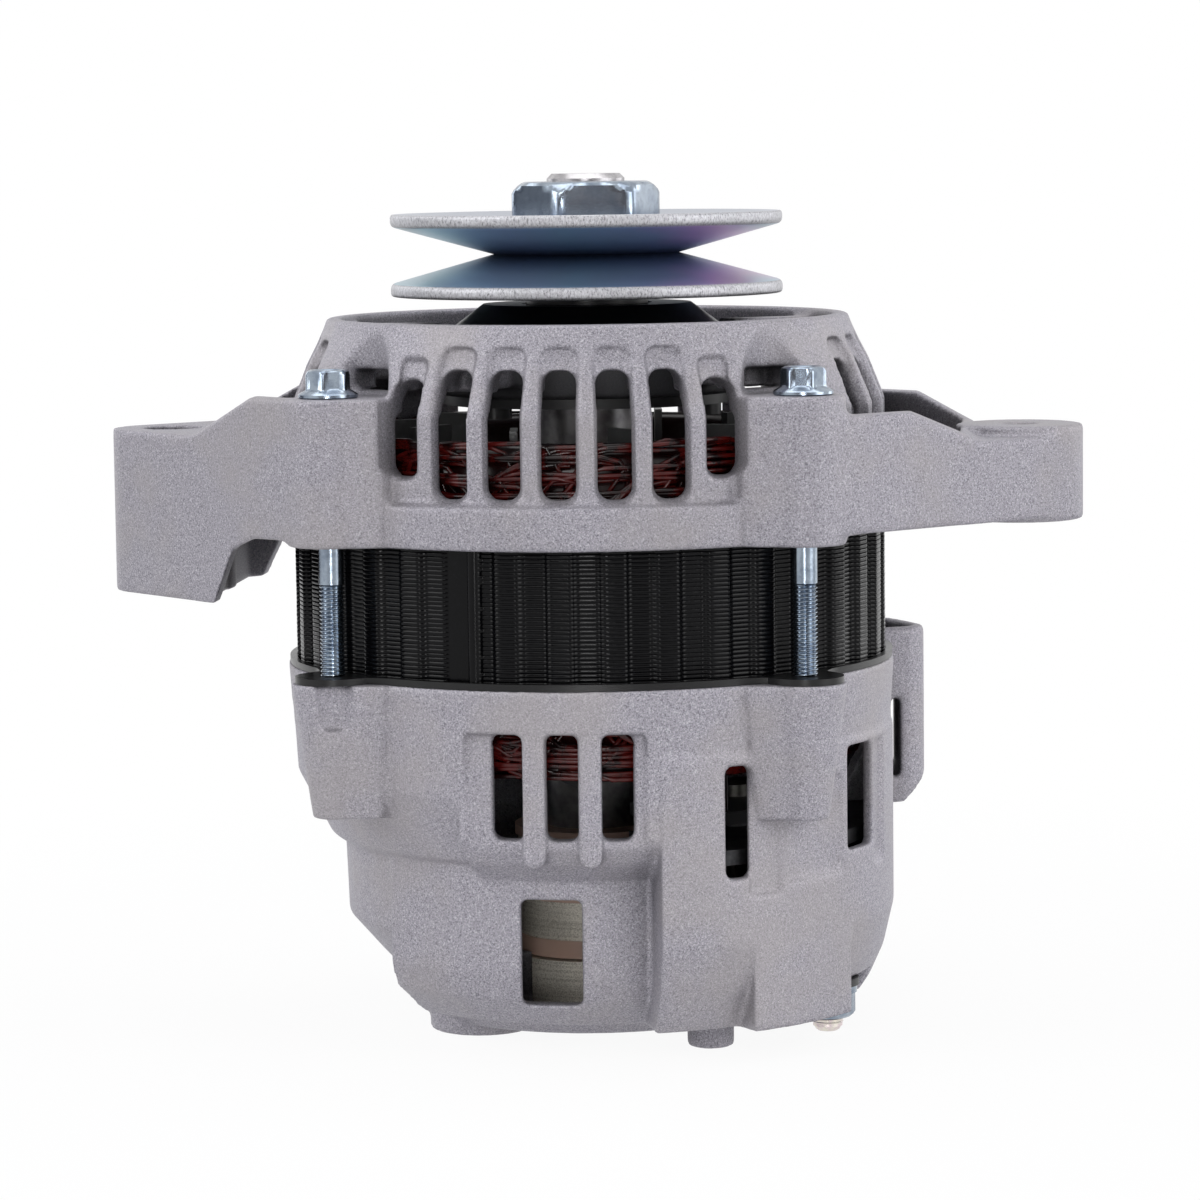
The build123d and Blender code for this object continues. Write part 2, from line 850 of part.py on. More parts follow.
# Stator core: laminated ring with winding slots inside and flutes outside
with BuildPart() as stator_core:
    with BuildSketch(Plane.XY.offset(core_bottom)):
        Circle(core_r)
        Circle(core_bore_r, mode=Mode.SUBTRACT)
        with PolarLocations((core_bore_r + core_slot_r) / 2 + 1, core_slot_count):
            Rectangle(core_slot_r - core_bore_r - 2, core_slot_width, mode=Mode.SUBTRACT)
        with PolarLocations(core_bore_r + 1, core_slot_count):
            Rectangle(4, core_slot_width / 2, mode=Mode.SUBTRACT)
    extrude(amount=core_length)
    with BuildSketch(Plane.XY.offset(core_bottom + core_seat + 1.6)):
        with PolarLocations(core_r, flute_count, start_angle=5):
            Rectangle(2 * flute_depth, flute_width, mode=Mode.ADD)
    extrude(amount=core_length - 2 * core_seat - 1.6, mode=Mode.SUBTRACT)
write(stator_core, "stator_core")


def end_turn(inner_z, outer_z):
    """Rounded basket of end turns on one side of the core."""
    bulge = math.copysign(3.0, outer_z - inner_z)
    outline = [
        (winding_inner_r, inner_z),
        (winding_inner_r, outer_z - bulge),
        (winding_inner_r + 3, outer_z),
        (winding_outer_r - 3, outer_z),
        (winding_outer_r, outer_z - bulge),
        (winding_outer_r, inner_z + bulge),
        (winding_outer_r - 3, inner_z),
    ]
    return turned(outline)


with BuildPart() as stator_winding:
    add(end_turn(core_top + 0.6, winding_top))
    add(end_turn(core_bottom - 0.6, winding_bottom))
    with BuildSketch(Plane.XY.offset(core_bottom - 2)):
        with PolarLocations((winding_inner_r + core_slot_r) / 2 - winding_gap / 2, core_slot_count):
            Rectangle(core_slot_r - winding_inner_r - winding_gap, core_slot_width - 2 * winding_gap)
    extrude(amount=core_length + 4)
write(stator_winding, "stator_winding")


# Rotor: two claw poles that reach past each other round the field coil
def claw_pole(direction, first_angle):
    """One pole piece; direction is 1 for the pulley side and -1 for the slip ring side."""

    def height(depth):
        return core_middle + direction * (pole_length / 2 - depth)

    tip = pole_length - pole_tip_short
    claw_outline = [
        (pole_disc_r - 8, height(0)),
        (pole_r - 1, height(0)),
        (pole_r, height(1)),
        (pole_r, height(tip)),
        (pole_r - pole_tip_thickness, height(tip)),
        (pole_disc_r, height(pole_disc_thickness)),
        (pole_disc_r - 8, height(pole_disc_thickness)),
    ]
    with BuildPart() as prisms:
        for i in range(pole_count):
            plane = Plane.XZ.rotated((0, 0, first_angle + 360 / pole_count * i + 90))
            with BuildSketch(plane):
                with BuildLine():
                    Polyline(
                        (-pole_root_width / 2, height(0)),
                        (pole_root_width / 2, height(0)),
                        (pole_root_width / 2, height(pole_disc_thickness)),
                        (pole_tip_width / 2, height(tip)),
                        (-pole_tip_width / 2, height(tip)),
                        (-pole_root_width / 2, height(pole_disc_thickness)),
                        close=True,
                    )
                make_face()
            extrude(amount=pole_r + 1)
    with BuildPart() as pole:
        add(turned(claw_outline))
        add(prisms.part, mode=Mode.INTERSECT)
        disc_far = min(height(0), height(pole_disc_thickness))
        add(ring(0, pole_disc_r - 2, disc_far, disc_far + pole_disc_thickness))
        add(ring(0, pole_core_r, min(core_middle, height(0)), max(core_middle, height(0))))
        add(ring(0, rotor_shaft_r, pole_bottom, pole_top), mode=Mode.SUBTRACT)
    return pole.part


with BuildPart() as front_pole_core:
    add(claw_pole(1, 0))
write(front_pole_core, "front_pole_core")

with BuildPart() as rear_pole_core:
    add(claw_pole(-1, 180 / pole_count))
write(rear_pole_core, "rear_pole_core")

# Field winding on its spool
spool_top = pole_top - pole_disc_thickness
spool_bottom = pole_bottom + pole_disc_thickness
with BuildPart() as field_bobbin:
    add(ring(pole_core_r, pole_core_r + bobbin_wall, spool_bottom, spool_top))
    add(ring(pole_core_r, coil_r, spool_bottom, spool_bottom + bobbin_wall))
    add(ring(pole_core_r, coil_r, spool_top - bobbin_wall, spool_top))
write(field_bobbin, "field_bobbin")

with BuildPart() as field_coil:
    add(ring(pole_core_r + bobbin_wall, coil_r - 0.4, spool_bottom + bobbin_wall, spool_top - bobbin_wall))
write(field_coil, "field_coil")


def fan(seat, direction, count):
    """Sheet fan whose blades are bent up from a notched disc; it seats on the rotor at seat."""
    low = min(seat, seat + direction * fan_sheet)
    blade_low = low if direction > 0 else low - fan_blade_height
    blade_middle_r = (fan_hub_r + fan_r) / 2
    blade_length = fan_r - fan_hub_r
    with BuildPart() as wheel:
        with BuildSketch(Plane.XY.offset(low)):
            Circle(fan_r)
            Circle(rotor_shaft_r, mode=Mode.SUBTRACT)
            with PolarLocations(fan_r, count, start_angle=180 / count):
                Rectangle(blade_length, blade_length * 0.8, mode=Mode.SUBTRACT)
        extrude(amount=fan_sheet)
        with BuildSketch(Plane.XY.offset(blade_low)):
            with PolarLocations(blade_middle_r, count):
                Rectangle(blade_length, fan_sheet, rotation=fan_blade_twist)
        extrude(amount=fan_blade_height + fan_sheet)
        add(ring(0, fan_r, low - fan_blade_height, low + fan_blade_height + fan_sheet), mode=Mode.INTERSECT)
    return wheel.part


with BuildPart() as front_fan:
    add(fan(pole_top, 1, front_blade_count))
write(front_fan, "front_fan")

with BuildPart() as rear_fan:
    add(fan(pole_bottom, -1, rear_blade_count))
write(rear_fan, "rear_fan")

# Slip rings on their moulded sleeve
with BuildPart() as slip_ring_inner:
    add(ring(slip_ring_inner_r, slip_ring_r, first_ring_top - slip_ring_length, first_ring_top))
write(slip_ring_inner, "slip_ring_inner")

with BuildPart() as slip_ring_outer:
    add(ring(slip_ring_inner_r, slip_ring_r, collar_top, second_ring_top))
write(slip_ring_outer, "slip_ring_outer")

sleeve_outline = [
    (slip_journal_r, slip_journal_top),
    (collar_r, slip_journal_top),
    (collar_r, first_ring_top),
    (slip_ring_inner_r, first_ring_top),
    (slip_ring_inner_r, first_ring_top - slip_ring_length),
    (collar_r, first_ring_top - slip_ring_length),
    (collar_r, second_ring_top),
    (slip_ring_inner_r, second_ring_top),
    (slip_ring_inner_r, collar_top),
    (collar_r, collar_top),
    (collar_r, rear_bearing_top + 0.4),
    (slip_journal_r, rear_bearing_top + 0.4),
]
with BuildPart() as slip_ring_insulator:
    add(turned(sleeve_outline))
write(slip_ring_insulator, "slip_ring_insulator")

# Brushes slide along X in the holder on the pivot ear's side
brush_face_x = -slip_ring_r - brush_gap
brush_back_x = brush_face_x - brush_length
spring_back_x = brush_back_x - brush_travel - spring_solid_length
holder_face_x = -slip_ring_r - holder_standoff
holder_back_x = spring_back_x - holder_end_wall
first_brush_z = first_ring_top - slip_ring_length / 2
second_brush_z = second_ring_top - slip_ring_length / 2
holder_top = first_brush_z + brush_thickness / 2 + brush_side_gap + holder_wall
holder_bottom = second_brush_z - brush_thickness / 2 - brush_side_gap - holder_wall
holder_half_y = brush_width / 2 + brush_side_gap + holder_wall
regulator_top = holder_top + regulator_flange
regulator_back_x = holder_back_x - regulator_depth


def block(low, high):
    """Rectangular block between two corners."""
    with BuildPart() as brick:
        with BuildSketch(Plane.XY.offset(low[2])):
            with Locations(((low[0] + high[0]) / 2, (low[1] + high[1]) / 2)):
                Rectangle(high[0] - low[0], high[1] - low[1])
        extrude(amount=high[2] - low[2])
    return brick.part


def brush(middle):
    """Carbon brush with a face hollowed to the slip ring."""
    half_z = brush_thickness / 2
    half_y = brush_width / 2
    with BuildPart() as carbon:
        add(block((brush_back_x, -half_y, middle - half_z), (brush_face_x + 2, half_y, middle + half_z)))
        add(ring(0, -brush_face_x, middle - half_z - 1, middle + half_z + 1), mode=Mode.SUBTRACT)
    return carbon.part


def brush_spring(middle):
    """Space that one brush's coil spring fills, behind the brush."""
    with BuildPart() as spring:
        with BuildSketch(Plane.YZ.offset(spring_back_x)):
            with Locations((0, middle)):
                Circle(spring_r)
                Circle(spring_r / 2, mode=Mode.SUBTRACT)
        extrude(amount=brush_back_x - spring_back_x)
    return spring.part


for middle, place in ((first_brush_z, "inner"), (second_brush_z, "outer")):
    with BuildPart() as carbon_brush:
        add(brush(middle))
    write(carbon_brush, f"brush_{place}")
    with BuildPart() as coil_spring:
        add(brush_spring(middle))
    write(coil_spring, f"brush_spring_{place}")

holder_screw_spots = [(holder_screw_x, -holder_screw_y), (holder_screw_x, holder_screw_y)]
holder_flange_half_y = holder_screw_y + m4_head_r + 0.6
with BuildPart() as brush_holder:
    add(block((holder_back_x, -holder_half_y, holder_bottom), (holder_face_x, holder_half_y, holder_top)))
    add(
        block(
            (holder_back_x, -holder_flange_half_y, holder_top - holder_flange),
            (holder_screw_x + m4_head_r + 1, holder_flange_half_y, holder_top),
        )
    )
    for middle in (first_brush_z, second_brush_z):
        half_z = brush_thickness / 2 + brush_side_gap
        half_y = brush_width / 2 + brush_side_gap
        add(
            block((spring_back_x, -half_y, middle - half_z), (holder_face_x, half_y, middle + half_z)),
            mode=Mode.SUBTRACT,
        )
    for spot in holder_screw_spots:
        add(peg(spot, m4_r, holder_bottom, holder_top), mode=Mode.SUBTRACT)
write(brush_holder, "brush_holder")

regulator_bottom = holder_top - regulator_height
with BuildPart() as voltage_regulator:
    add(
        block(
            (regulator_back_x, -regulator_half_width, regulator_bottom),
            (holder_back_x, regulator_half_width, regulator_top + 3),
        )
    )
    add(
        block(
            (holder_back_x, -holder_flange_half_y, holder_top),
            (holder_screw_x + m4_head_r + 1, holder_flange_half_y, regulator_top),
        )
    )
    for spot in holder_screw_spots:
        add(peg(spot, m4_r, holder_top, regulator_top), mode=Mode.SUBTRACT)
write(voltage_regulator, "voltage_regulator")

holder_screw_length = regulator_flange + holder_flange + 10
with BuildPart() as regulator_screws:
    for spot in holder_screw_spots:
        add(screw(spot, regulator_top, -1, holder_screw_length))
write(regulator_screws, "regulator_screws")

# Rectifier: board, two heat sinks, diodes and screws, stacked in the deep side of the rear bracket
board_bottom = terminal_top - board_sheet
positive_top = board_bottom - board_gap
positive_bottom = positive_top - sink_sheet
negative_top = positive_bottom - sink_gap
negative_bottom = negative_top - sink_sheet
positive_diodes = [polar(48.5, -58), polar(48.5, -10), polar(34, -45)]
negative_diodes = [polar(48.5, -40), polar(48.5, 6), polar(34, -8)]
rectifier_posts = [polar(36, -62), polar(34, -26.5), polar(36, 10)]
stud_spot = polar(stud_circle_r, stud_angle)
lead_gap = 0.8

with BuildPart() as rectifier_terminal_board:
    add(sector(sink_inner_r + 1, board_outer_r, sink_start, sink_end, board_bottom, terminal_top))
    for spot in rectifier_posts:
        add(peg(spot, rectifier_post_r, positive_top, board_bottom))
        add(peg(spot, m4_r, positive_top, terminal_top), mode=Mode.SUBTRACT)
write(rectifier_terminal_board, "rectifier_terminal_board")

with BuildPart() as positive_heat_sink:
    add(sector(sink_inner_r, sink_outer_r, sink_start, sink_end, positive_bottom, positive_top))
    for spot in rectifier_posts:
        add(peg(spot, m4_r, positive_bottom, positive_top), mode=Mode.SUBTRACT)
    for spot in positive_diodes + negative_diodes:
        add(peg(spot, diode_lead_r + lead_gap, positive_bottom, positive_top), mode=Mode.SUBTRACT)
    add(peg(stud_spot, stud_r, positive_bottom, positive_top), mode=Mode.SUBTRACT)
write(positive_heat_sink, "positive_heat_sink")

with BuildPart() as negative_heat_sink:
    add(sector(sink_inner_r, sink_outer_r, sink_start, sink_end, negative_bottom, negative_top))
    for spot in rectifier_posts:
        add(peg(spot, m4_r, negative_bottom, negative_top), mode=Mode.SUBTRACT)
    add(peg(stud_spot, stud_r + 2.4, negative_bottom, negative_top), mode=Mode.SUBTRACT)
write(negative_heat_sink, "negative_heat_sink")

with BuildPart() as rectifier_spacers:
    for spot in rectifier_posts:
        add(peg(spot, rectifier_post_r, negative_top, positive_bottom))
        add(peg(spot, m4_r, negative_top, positive_bottom), mode=Mode.SUBTRACT)
write(rectifier_spacers, "rectifier_spacers")

with BuildPart() as rectifier_diodes:
    for spot in positive_diodes:
        add(peg(spot, diode_r, positive_bottom - diode_height, positive_bottom))
        add(peg(spot, diode_lead_r, positive_bottom, board_bottom))
    for spot in negative_diodes:
        add(peg(spot, diode_r, negative_top, negative_top + diode_height))
        add(peg(spot, diode_lead_r, negative_top, board_bottom))
write(rectifier_diodes, "rectifier_diodes")

rectifier_screw_length = terminal_top - negative_bottom + 6
with BuildPart() as rectifier_screws:
    for spot in rectifier_posts:
        add(screw(spot, terminal_top, -1, rectifier_screw_length))
write(rectifier_screws, "rectifier_screws")

# Leads from the stator winding down to the terminal board
with BuildPart() as stator_leads:
    for angle in (-52, -26, 0):
        add(peg(polar(board_outer_r - 1.6, angle), 0.9, terminal_top, winding_bottom))
write(stator_leads, "stator_leads")

# Output stud with its insulator, nut and cap, in a recess of the end face
recess_z = housing_z + recess_depth
stud_head_height = 3.0
stud_head_across_flats = 7.0
stud_washer_height = 1.5
insulator_flange = 1.5
insulator_bottom = recess_z - insulator_flange
stud_washer_bottom = insulator_bottom - stud_washer_height
stud_nut_bottom = stud_washer_bottom - stud_nut_height
stud_tip = pad_z + 1.4
stud_cap_wall = 0.7
with BuildPart() as output_stud:
    stud_top = positive_top + stud_head_height
    add(hexagon(stud_spot, stud_head_across_flats, positive_top, stud_top, stud_angle + 30))
    add(peg(stud_spot, stud_r, stud_tip, positive_top))
write(output_stud, "output_stud")

with BuildPart() as stud_insulator:
    add(peg(stud_spot, stud_hole_r, recess_z, recess_z + rear_wall + 1.5))
    add(peg(stud_spot, stud_flange_r, insulator_bottom, recess_z))
    add(peg(stud_spot, stud_r, insulator_bottom, recess_z + rear_wall + 1.5), mode=Mode.SUBTRACT)
write(stud_insulator, "stud_insulator")

with BuildPart() as stud_washer:
    add(peg(stud_spot, stud_flange_r - 0.4, stud_washer_bottom, insulator_bottom))
    add(peg(stud_spot, stud_r, stud_washer_bottom, insulator_bottom), mode=Mode.SUBTRACT)
write(stud_washer, "stud_washer")

with BuildPart() as stud_nut:
    add(hexagon(stud_spot, stud_nut_across_flats, stud_nut_bottom, stud_washer_bottom, turn=10))
    add(peg(stud_spot, stud_r, stud_nut_bottom, stud_washer_bottom), mode=Mode.SUBTRACT)
write(stud_nut, "stud_nut")

with BuildPart() as stud_cap:
    with BuildSketch(Plane.XY.offset(stud_nut_bottom)):
        with Locations(stud_spot):
            Circle(stud_r + stud_cap_wall)
    extrude(amount=-(stud_nut_bottom - pad_z - 0.4), taper=6)
    add(peg(stud_spot, stud_r, stud_tip, stud_nut_bottom), mode=Mode.SUBTRACT)
write(stud_cap, "stud_cap")

# Rear bracket: outlines of the tiers, the deep housing, the front block and the vents' apron
step_z = rim_z - tier_step_drop
tier_outline = [
    (0, rim_z),
    (rim_r, rim_z),
    (upper_tier_r, rim_z - upper_tier_drop),
    (middle_tier_r + tier_flare, step_z),
    (middle_tier_r + 0.5, step_z - tier_step),
    (middle_tier_r, rim_z - middle_tier_drop),
    (lower_tier_r + tier_flare, rim_z - lower_tier_drop),
    (lower_tier_r + 0.3, rim_z - lower_tier_drop - tier_flare),
    (lower_tier_r, end_z + 4.4),
    (end_face_r, end_z),
    (0, end_z),
]
housing_top = rim_z - housing_top_drop
housing_shoulder = rim_z - housing_shoulder_drop
housing_outline = [
    (0, housing_top),
    (housing_r, housing_top),
    (housing_r, housing_shoulder),
    (housing_r - 2.1, housing_shoulder - 9),
    (housing_r - 4.8, housing_z + 3),
    (housing_r - 6.8, housing_z),
    (0, housing_z),
]
block_top = rim_z - block_top_drop
block_outline = [
    (0, block_top),
    (front_block_r, block_top),
    (front_block_r, housing_z + 11),
    (front_block_r - 1.5, housing_z + 6),
    (front_block_r - 8, housing_z),
    (0, housing_z),
]
apron_top = rim_z - apron_top_drop
apron_bottom = rim_z - apron_bottom_drop
apron_outline = [
    (middle_tier_r - 6, apron_top),
    (apron_r, apron_top),
    (apron_r, apron_bottom + 9),
    (apron_r - 3.5, apron_bottom + 4.5),
    (front_block_r, apron_bottom),
    (middle_tier_r - 6, apron_bottom),
]
apron_cavity = [
    (middle_tier_r - 7, apron_top),
    (apron_r - rear_wall, apron_top),
    (apron_r - rear_wall, apron_bottom + 11),
    (front_block_r - rear_wall, apron_bottom + 4),
    (middle_tier_r - 7, apron_bottom + 4),
]


def moved_in(outline, wall, floor):
    """Half outline of the space inside an outline: wall thinner all round, down to a floor height."""
    return [(max(r - wall, 0), max(z, floor)) for r, z in outline]


side_wall_turn = 2.4
apron_start = -110.0
apron_end = -68.0
vent_relief_end = -74.5
nub_spot = (-21.6, -17.2)
nub_r = 10.8
window_pad_spot = (-3.3, -17.4)
window_pad_r = 7.5
foot_spot = (26.5, -34.1)
foot_r = 4.7
back_pads = [polar(35, 81), polar(36, 146)]
back_pad_r = 4.6
post_r = 4.6
vent_low = rim_z - 29.5
vent_high = rim_z - 8.7
rib_low = rim_z - 34.8
lower_window = (-14.3, -2.4, rim_z - 64.0, rim_z - 42.7)
vent_angles = [-90, 90, 180]
pocket_slit = ((63.2, 10, rim_z - 29), (64.9, 60, rim_z - 12))
# Each side window: middle angle, width, bottom, top
side_slots = [
    (-57.1, 5.4, rim_z - 38, rim_z - 16),
    (-24.2, 11.0, rim_z - 36, rim_z - 15),
    (217.8, 4.5, rim_z - 28, rim_z - 19.5),
]
# Each shallow relief of the housing: first angle, last angle, bottom, top
reliefs = [
    (-54.8, -47.7, rim_z - 42, rim_z - 16),
    (-47.0, -31.4, rim_z - 40, rim_z - 20),
    (-18.4, -12.8, rim_z - 40, rim_z - 15),
]


def turned_block(low, high):
    """Rectangular block whose sides are turned to line up with the view of the slip rings."""
    with BuildPart() as brick:
        with BuildSketch(Plane.XY.rotated((0, 0, view_turn)).offset(low[2])):
            with Locations(((low[0] + high[0]) / 2, (low[1] + high[1]) / 2)):
                Rectangle(high[0] - low[0], high[1] - low[1])
        extrude(amount=high[2] - low[2])
    return brick.part


def side_pocket(inner_r, inset):
    """Rounded lobe beside the adjusting ear; inset moves its faces in by the wall for the space inside."""
    reach = side_pocket_r - inset
    low = rim_z - side_pocket_depth + inset
    top = rim_z + side_pocket_rise
    first = side_pocket_start + math.degrees(inset / reach)
    sweep_angle = side_pocket_end - side_pocket_start - 2 * math.degrees(inset / reach)
    outline = [
        (inner_r, rim_z),
        (core_r + 1, rim_z),
        (core_r + 1, top),
        (reach, top),
        (reach, low + side_pocket_bevel),
        (reach - side_pocket_bevel, low),
        (inner_r, low),
    ]
    with BuildPart() as pocket:
        add(turned(outline, first, sweep_angle))
        with BuildSketch(Plane.XY.offset(low)) as plan:
            with BuildLine():
                outer = CenterArc((0, 0), reach, first, sweep_angle)
                inner = CenterArc((0, 0), inner_r, first, sweep_angle)
                Line(outer @ 0, inner @ 0)
                Line(outer @ 1, inner @ 1)
            make_face()
            far_corners = plan.vertices().sort_by(lambda corner: math.hypot(corner.X, corner.Y))[-2:]
            fillet(far_corners, side_pocket_round - inset / 2)
        extrude(amount=top - low, mode=Mode.INTERSECT)
    return pocket.part


def rear_outside():
    """Outer form of the rear bracket without its openings."""
    block_sweep = 360 + housing_start + 4 - front_block_start
    with BuildPart() as form:
        add(turned(tier_outline))
        add(turned(housing_outline, housing_start, housing_end - housing_start))
        add(turned(block_outline, front_block_start, block_sweep))
        add(turned(apron_outline, apron_start, apron_end - apron_start))
        for first, last, low, high in reliefs:
            add(sector(housing_r - relief_depth, rim_r + 1, first, last, low, high), mode=Mode.SUBTRACT)
        vent_relief = (apron_start + 1.5, vent_relief_end, rib_low + 1.3, vent_high)
        add(sector(apron_r - relief_depth, rim_r + 1, *vent_relief), mode=Mode.SUBTRACT)
        for angle in bolt_angles:
            add(lobe(angle, rim_z - lobe_depth, rim_z, lobe_draft))
        add(side_pocket(middle_tier_r - 2, 0))
        add(sector(housing_r - 6.8, housing_r, screen_start, screen_end, housing_z, housing_shoulder))
        for side in (-1, 1):
            rib_angle = -90 + side * rear_slot_pitch / 2
            add(radial_slot(rib_angle, 4.6, rib_low, apron_top, apron_r - 6, apron_r + 0.6, 2.2))
    return form.part


def rear_inside():
    """Space inside the rear bracket; the housing is less deep over the stud's recess."""
    start = housing_start + side_wall_turn
    end = housing_end - side_wall_turn
    before_recess = recess_start - 3
    after_recess = recess_end + 3
    deep = moved_in(housing_outline, housing_wall, housing_cavity_z)
    shallow = moved_in(housing_outline, housing_wall, recess_z + rear_wall)
    with BuildPart() as space:
        add(turned(moved_in(tier_outline, rear_wall, end_z + rear_wall)))
        add(turned(shallow, start, end - start))
        add(turned(deep, start, before_recess - start))
        add(turned(deep, after_recess, end - after_recess))
        add(
            turned(
                moved_in(block_outline, rear_wall, housing_cavity_z),
                front_block_start + 3,
                360 + housing_start - 1 - front_block_start,
            )
        )
        add(turned(apron_cavity, apron_start + 3, apron_end - apron_start - 6))
        add(side_pocket(core_r - 6, side_pocket_wall))
        add(ring(0, core_r, core_bottom, rim_z))
    return space.part


socket_bottom = end_z - socket_proud
socket_top = socket_bottom + socket_depth + socket_floor
socket_mouth = (socket_size[0] - 2 * socket_wall, socket_size[1] - 2 * socket_wall)
blade_spots = [(socket_spot[0] + side * blade_space / 2, socket_spot[1]) for side in (-1, 1)]


def column(centre, size, bottom, top):
    """Upright rectangular prism."""
    with BuildPart() as prism:
        with BuildSketch(Plane.XY.offset(bottom)):
            with Locations(centre):
                Rectangle(size[0], size[1])
        extrude(amount=top - bottom)
    return prism.part


with BuildPart() as rear_bracket:
    add(rear_outside())
    add(rear_inside(), mode=Mode.SUBTRACT)
    add(ring(0, rear_hub_r, end_z, rear_bearing_top + 1.5))
    add(ring(0, rear_cap_r, cap_z, end_z))
    add(peg(nub_spot, nub_r, pad_z, end_z + rear_wall))
    add(peg(window_pad_spot, window_pad_r, pad_z, end_z + 1))
    add(peg(foot_spot, foot_r, pad_z, housing_cavity_z))
    for spot in back_pads:
        add(peg(spot, back_pad_r, pad_z, end_z + rear_wall))
    for spot in holder_screw_spots:
        post_top = holder_top - holder_flange
        add(peg(spot, post_r, end_z + rear_wall / 2, post_top))
        add(peg(spot, m4_r, post_top - 12, post_top), mode=Mode.SUBTRACT)
    for spot in rectifier_posts:
        add(peg(spot, rectifier_post_r, end_z + rear_wall - 0.1, negative_bottom))
        add(peg(spot, m4_r, negative_bottom - 8, negative_bottom), mode=Mode.SUBTRACT)
    add(ring(0, rear_bearing_r, rear_bearing_bottom, rear_bearing_top + 2), mode=Mode.SUBTRACT)
    window_left, window_right, window_low, window_high = lower_window
    add(
        turned_block(
            (window_left - 2.2, -rear_hub_r - 7.5, end_z + 2),
            (window_right + 1.4, -rear_hub_r + 10.5, rear_bearing_top + 3),
        ),
        mode=Mode.SUBTRACT,
    )
    add(
        turned_block(
            (window_left, -front_block_r - 2, window_low),
            (window_right, -end_face_r + 0.5, window_high),
        ),
        mode=Mode.SUBTRACT,
    )
    for middle in vent_angles:
        for i in (-1, 0, 1):
            angle = middle + i * rear_slot_pitch
            vent = radial_slot(angle, rear_slot_width, vent_low, vent_high, 48, rim_r + 4, 1.6)
            add(vent, mode=Mode.SUBTRACT)
    for angle, width, low, high in side_slots:
        add(radial_slot(angle, width, low, high, 48, rim_r + 4, 1.2), mode=Mode.SUBTRACT)
    add(turned_block(pocket_slit[0], pocket_slit[1]), mode=Mode.SUBTRACT)
    for first, outer_r in ((recess_start, housing_r - housing_wall), (screen_end, housing_r + 5)):
        add(sector(recess_inner_r, outer_r, first, recess_end, housing_z - 1, recess_z), mode=Mode.SUBTRACT)
    add(peg(stud_spot, stud_hole_r, recess_z, recess_z + rear_wall + 6), mode=Mode.SUBTRACT)
    for angle in bolt_angles:
        add(peg(polar(bolt_circle_r, angle), bolt_r, bolt_bottom - 1, rim_z), mode=Mode.SUBTRACT)
    add(peg(polar(*notch_place), notch_r, rim_z - notch_depth, rim_z), mode=Mode.SUBTRACT)
    add(column(socket_spot, socket_size, end_z, socket_top), mode=Mode.SUBTRACT)
write(rear_bracket, "rear_bracket")

# Signal socket and its two blades
with BuildPart() as signal_socket:
    add(column(socket_spot, socket_size, socket_bottom, socket_top))
    add(column(socket_spot, socket_mouth, socket_bottom, socket_bottom + socket_depth), mode=Mode.SUBTRACT)
    for spot in blade_spots:
        add(column(spot, blade_size, socket_bottom + socket_depth, socket_top), mode=Mode.SUBTRACT)
write(signal_socket, "signal_socket")

with BuildPart() as signal_blades:
    for spot in blade_spots:
        add(column(spot, blade_size, socket_bottom + 1.5, socket_bottom + 1.5 + blade_length))
write(signal_blades, "signal_blades")
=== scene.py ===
import logging
import math
import random
from dataclasses import dataclass
from enum import Enum
from typing import Any, Optional, Sequence, Union

import bmesh
import bpy
from mathutils import Matrix, Vector


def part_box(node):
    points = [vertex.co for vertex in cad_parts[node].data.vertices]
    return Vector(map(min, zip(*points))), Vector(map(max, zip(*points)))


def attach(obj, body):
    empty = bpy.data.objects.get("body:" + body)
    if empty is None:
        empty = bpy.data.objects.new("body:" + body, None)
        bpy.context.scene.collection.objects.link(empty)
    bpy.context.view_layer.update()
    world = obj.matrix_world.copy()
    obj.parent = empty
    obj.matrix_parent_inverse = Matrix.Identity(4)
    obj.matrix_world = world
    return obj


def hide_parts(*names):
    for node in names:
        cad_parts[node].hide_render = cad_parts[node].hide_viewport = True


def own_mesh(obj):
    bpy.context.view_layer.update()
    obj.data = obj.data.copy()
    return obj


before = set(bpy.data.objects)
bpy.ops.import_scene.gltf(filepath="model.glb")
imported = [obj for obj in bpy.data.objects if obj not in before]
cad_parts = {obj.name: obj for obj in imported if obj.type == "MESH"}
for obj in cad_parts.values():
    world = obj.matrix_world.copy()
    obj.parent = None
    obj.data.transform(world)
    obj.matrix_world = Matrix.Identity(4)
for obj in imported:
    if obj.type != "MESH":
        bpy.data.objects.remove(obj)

logging.basicConfig(level=logging.INFO, format="%(name)s: %(message)s")
log = logging.getLogger("alternator")

MM = 0.001
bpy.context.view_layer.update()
HEX_HALF = math.pi / 6
HEX_STEPS = 144
UPWARD = 0.3
Number = Union[int, float]


class Body(Enum):
    """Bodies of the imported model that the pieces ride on."""

    HOUSING = "housing"
    ROTOR = "rotor"


def corners(node: str) -> tuple[Vector, Vector]:
    """Lowest and highest corner of a node, in millimetres."""
    low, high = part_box(node)
    return low / MM, high / MM


def heights(node: str) -> tuple[float, float]:
    """Lowest and highest level of a node, in millimetres."""
    low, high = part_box(node)
    return low.z / MM, high.z / MM


def around(radius: float, angle: float, height: float) -> Vector:
    """Point at a radius, an angle in radians and a height."""
    return Vector((radius * math.cos(angle), radius * math.sin(angle), height))


def full_turn(steps: int) -> list[float]:
    """Angles of equal steps round a full turn, in radians."""
    return [2 * math.pi * k / steps for k in range(steps)]


def placed(name: str, data: bpy.types.ID) -> bpy.types.Object:
    """Adds an object with this data to the scene."""
    made = bpy.data.objects.new(name, data)
    bpy.context.scene.collection.objects.link(made)
    return made


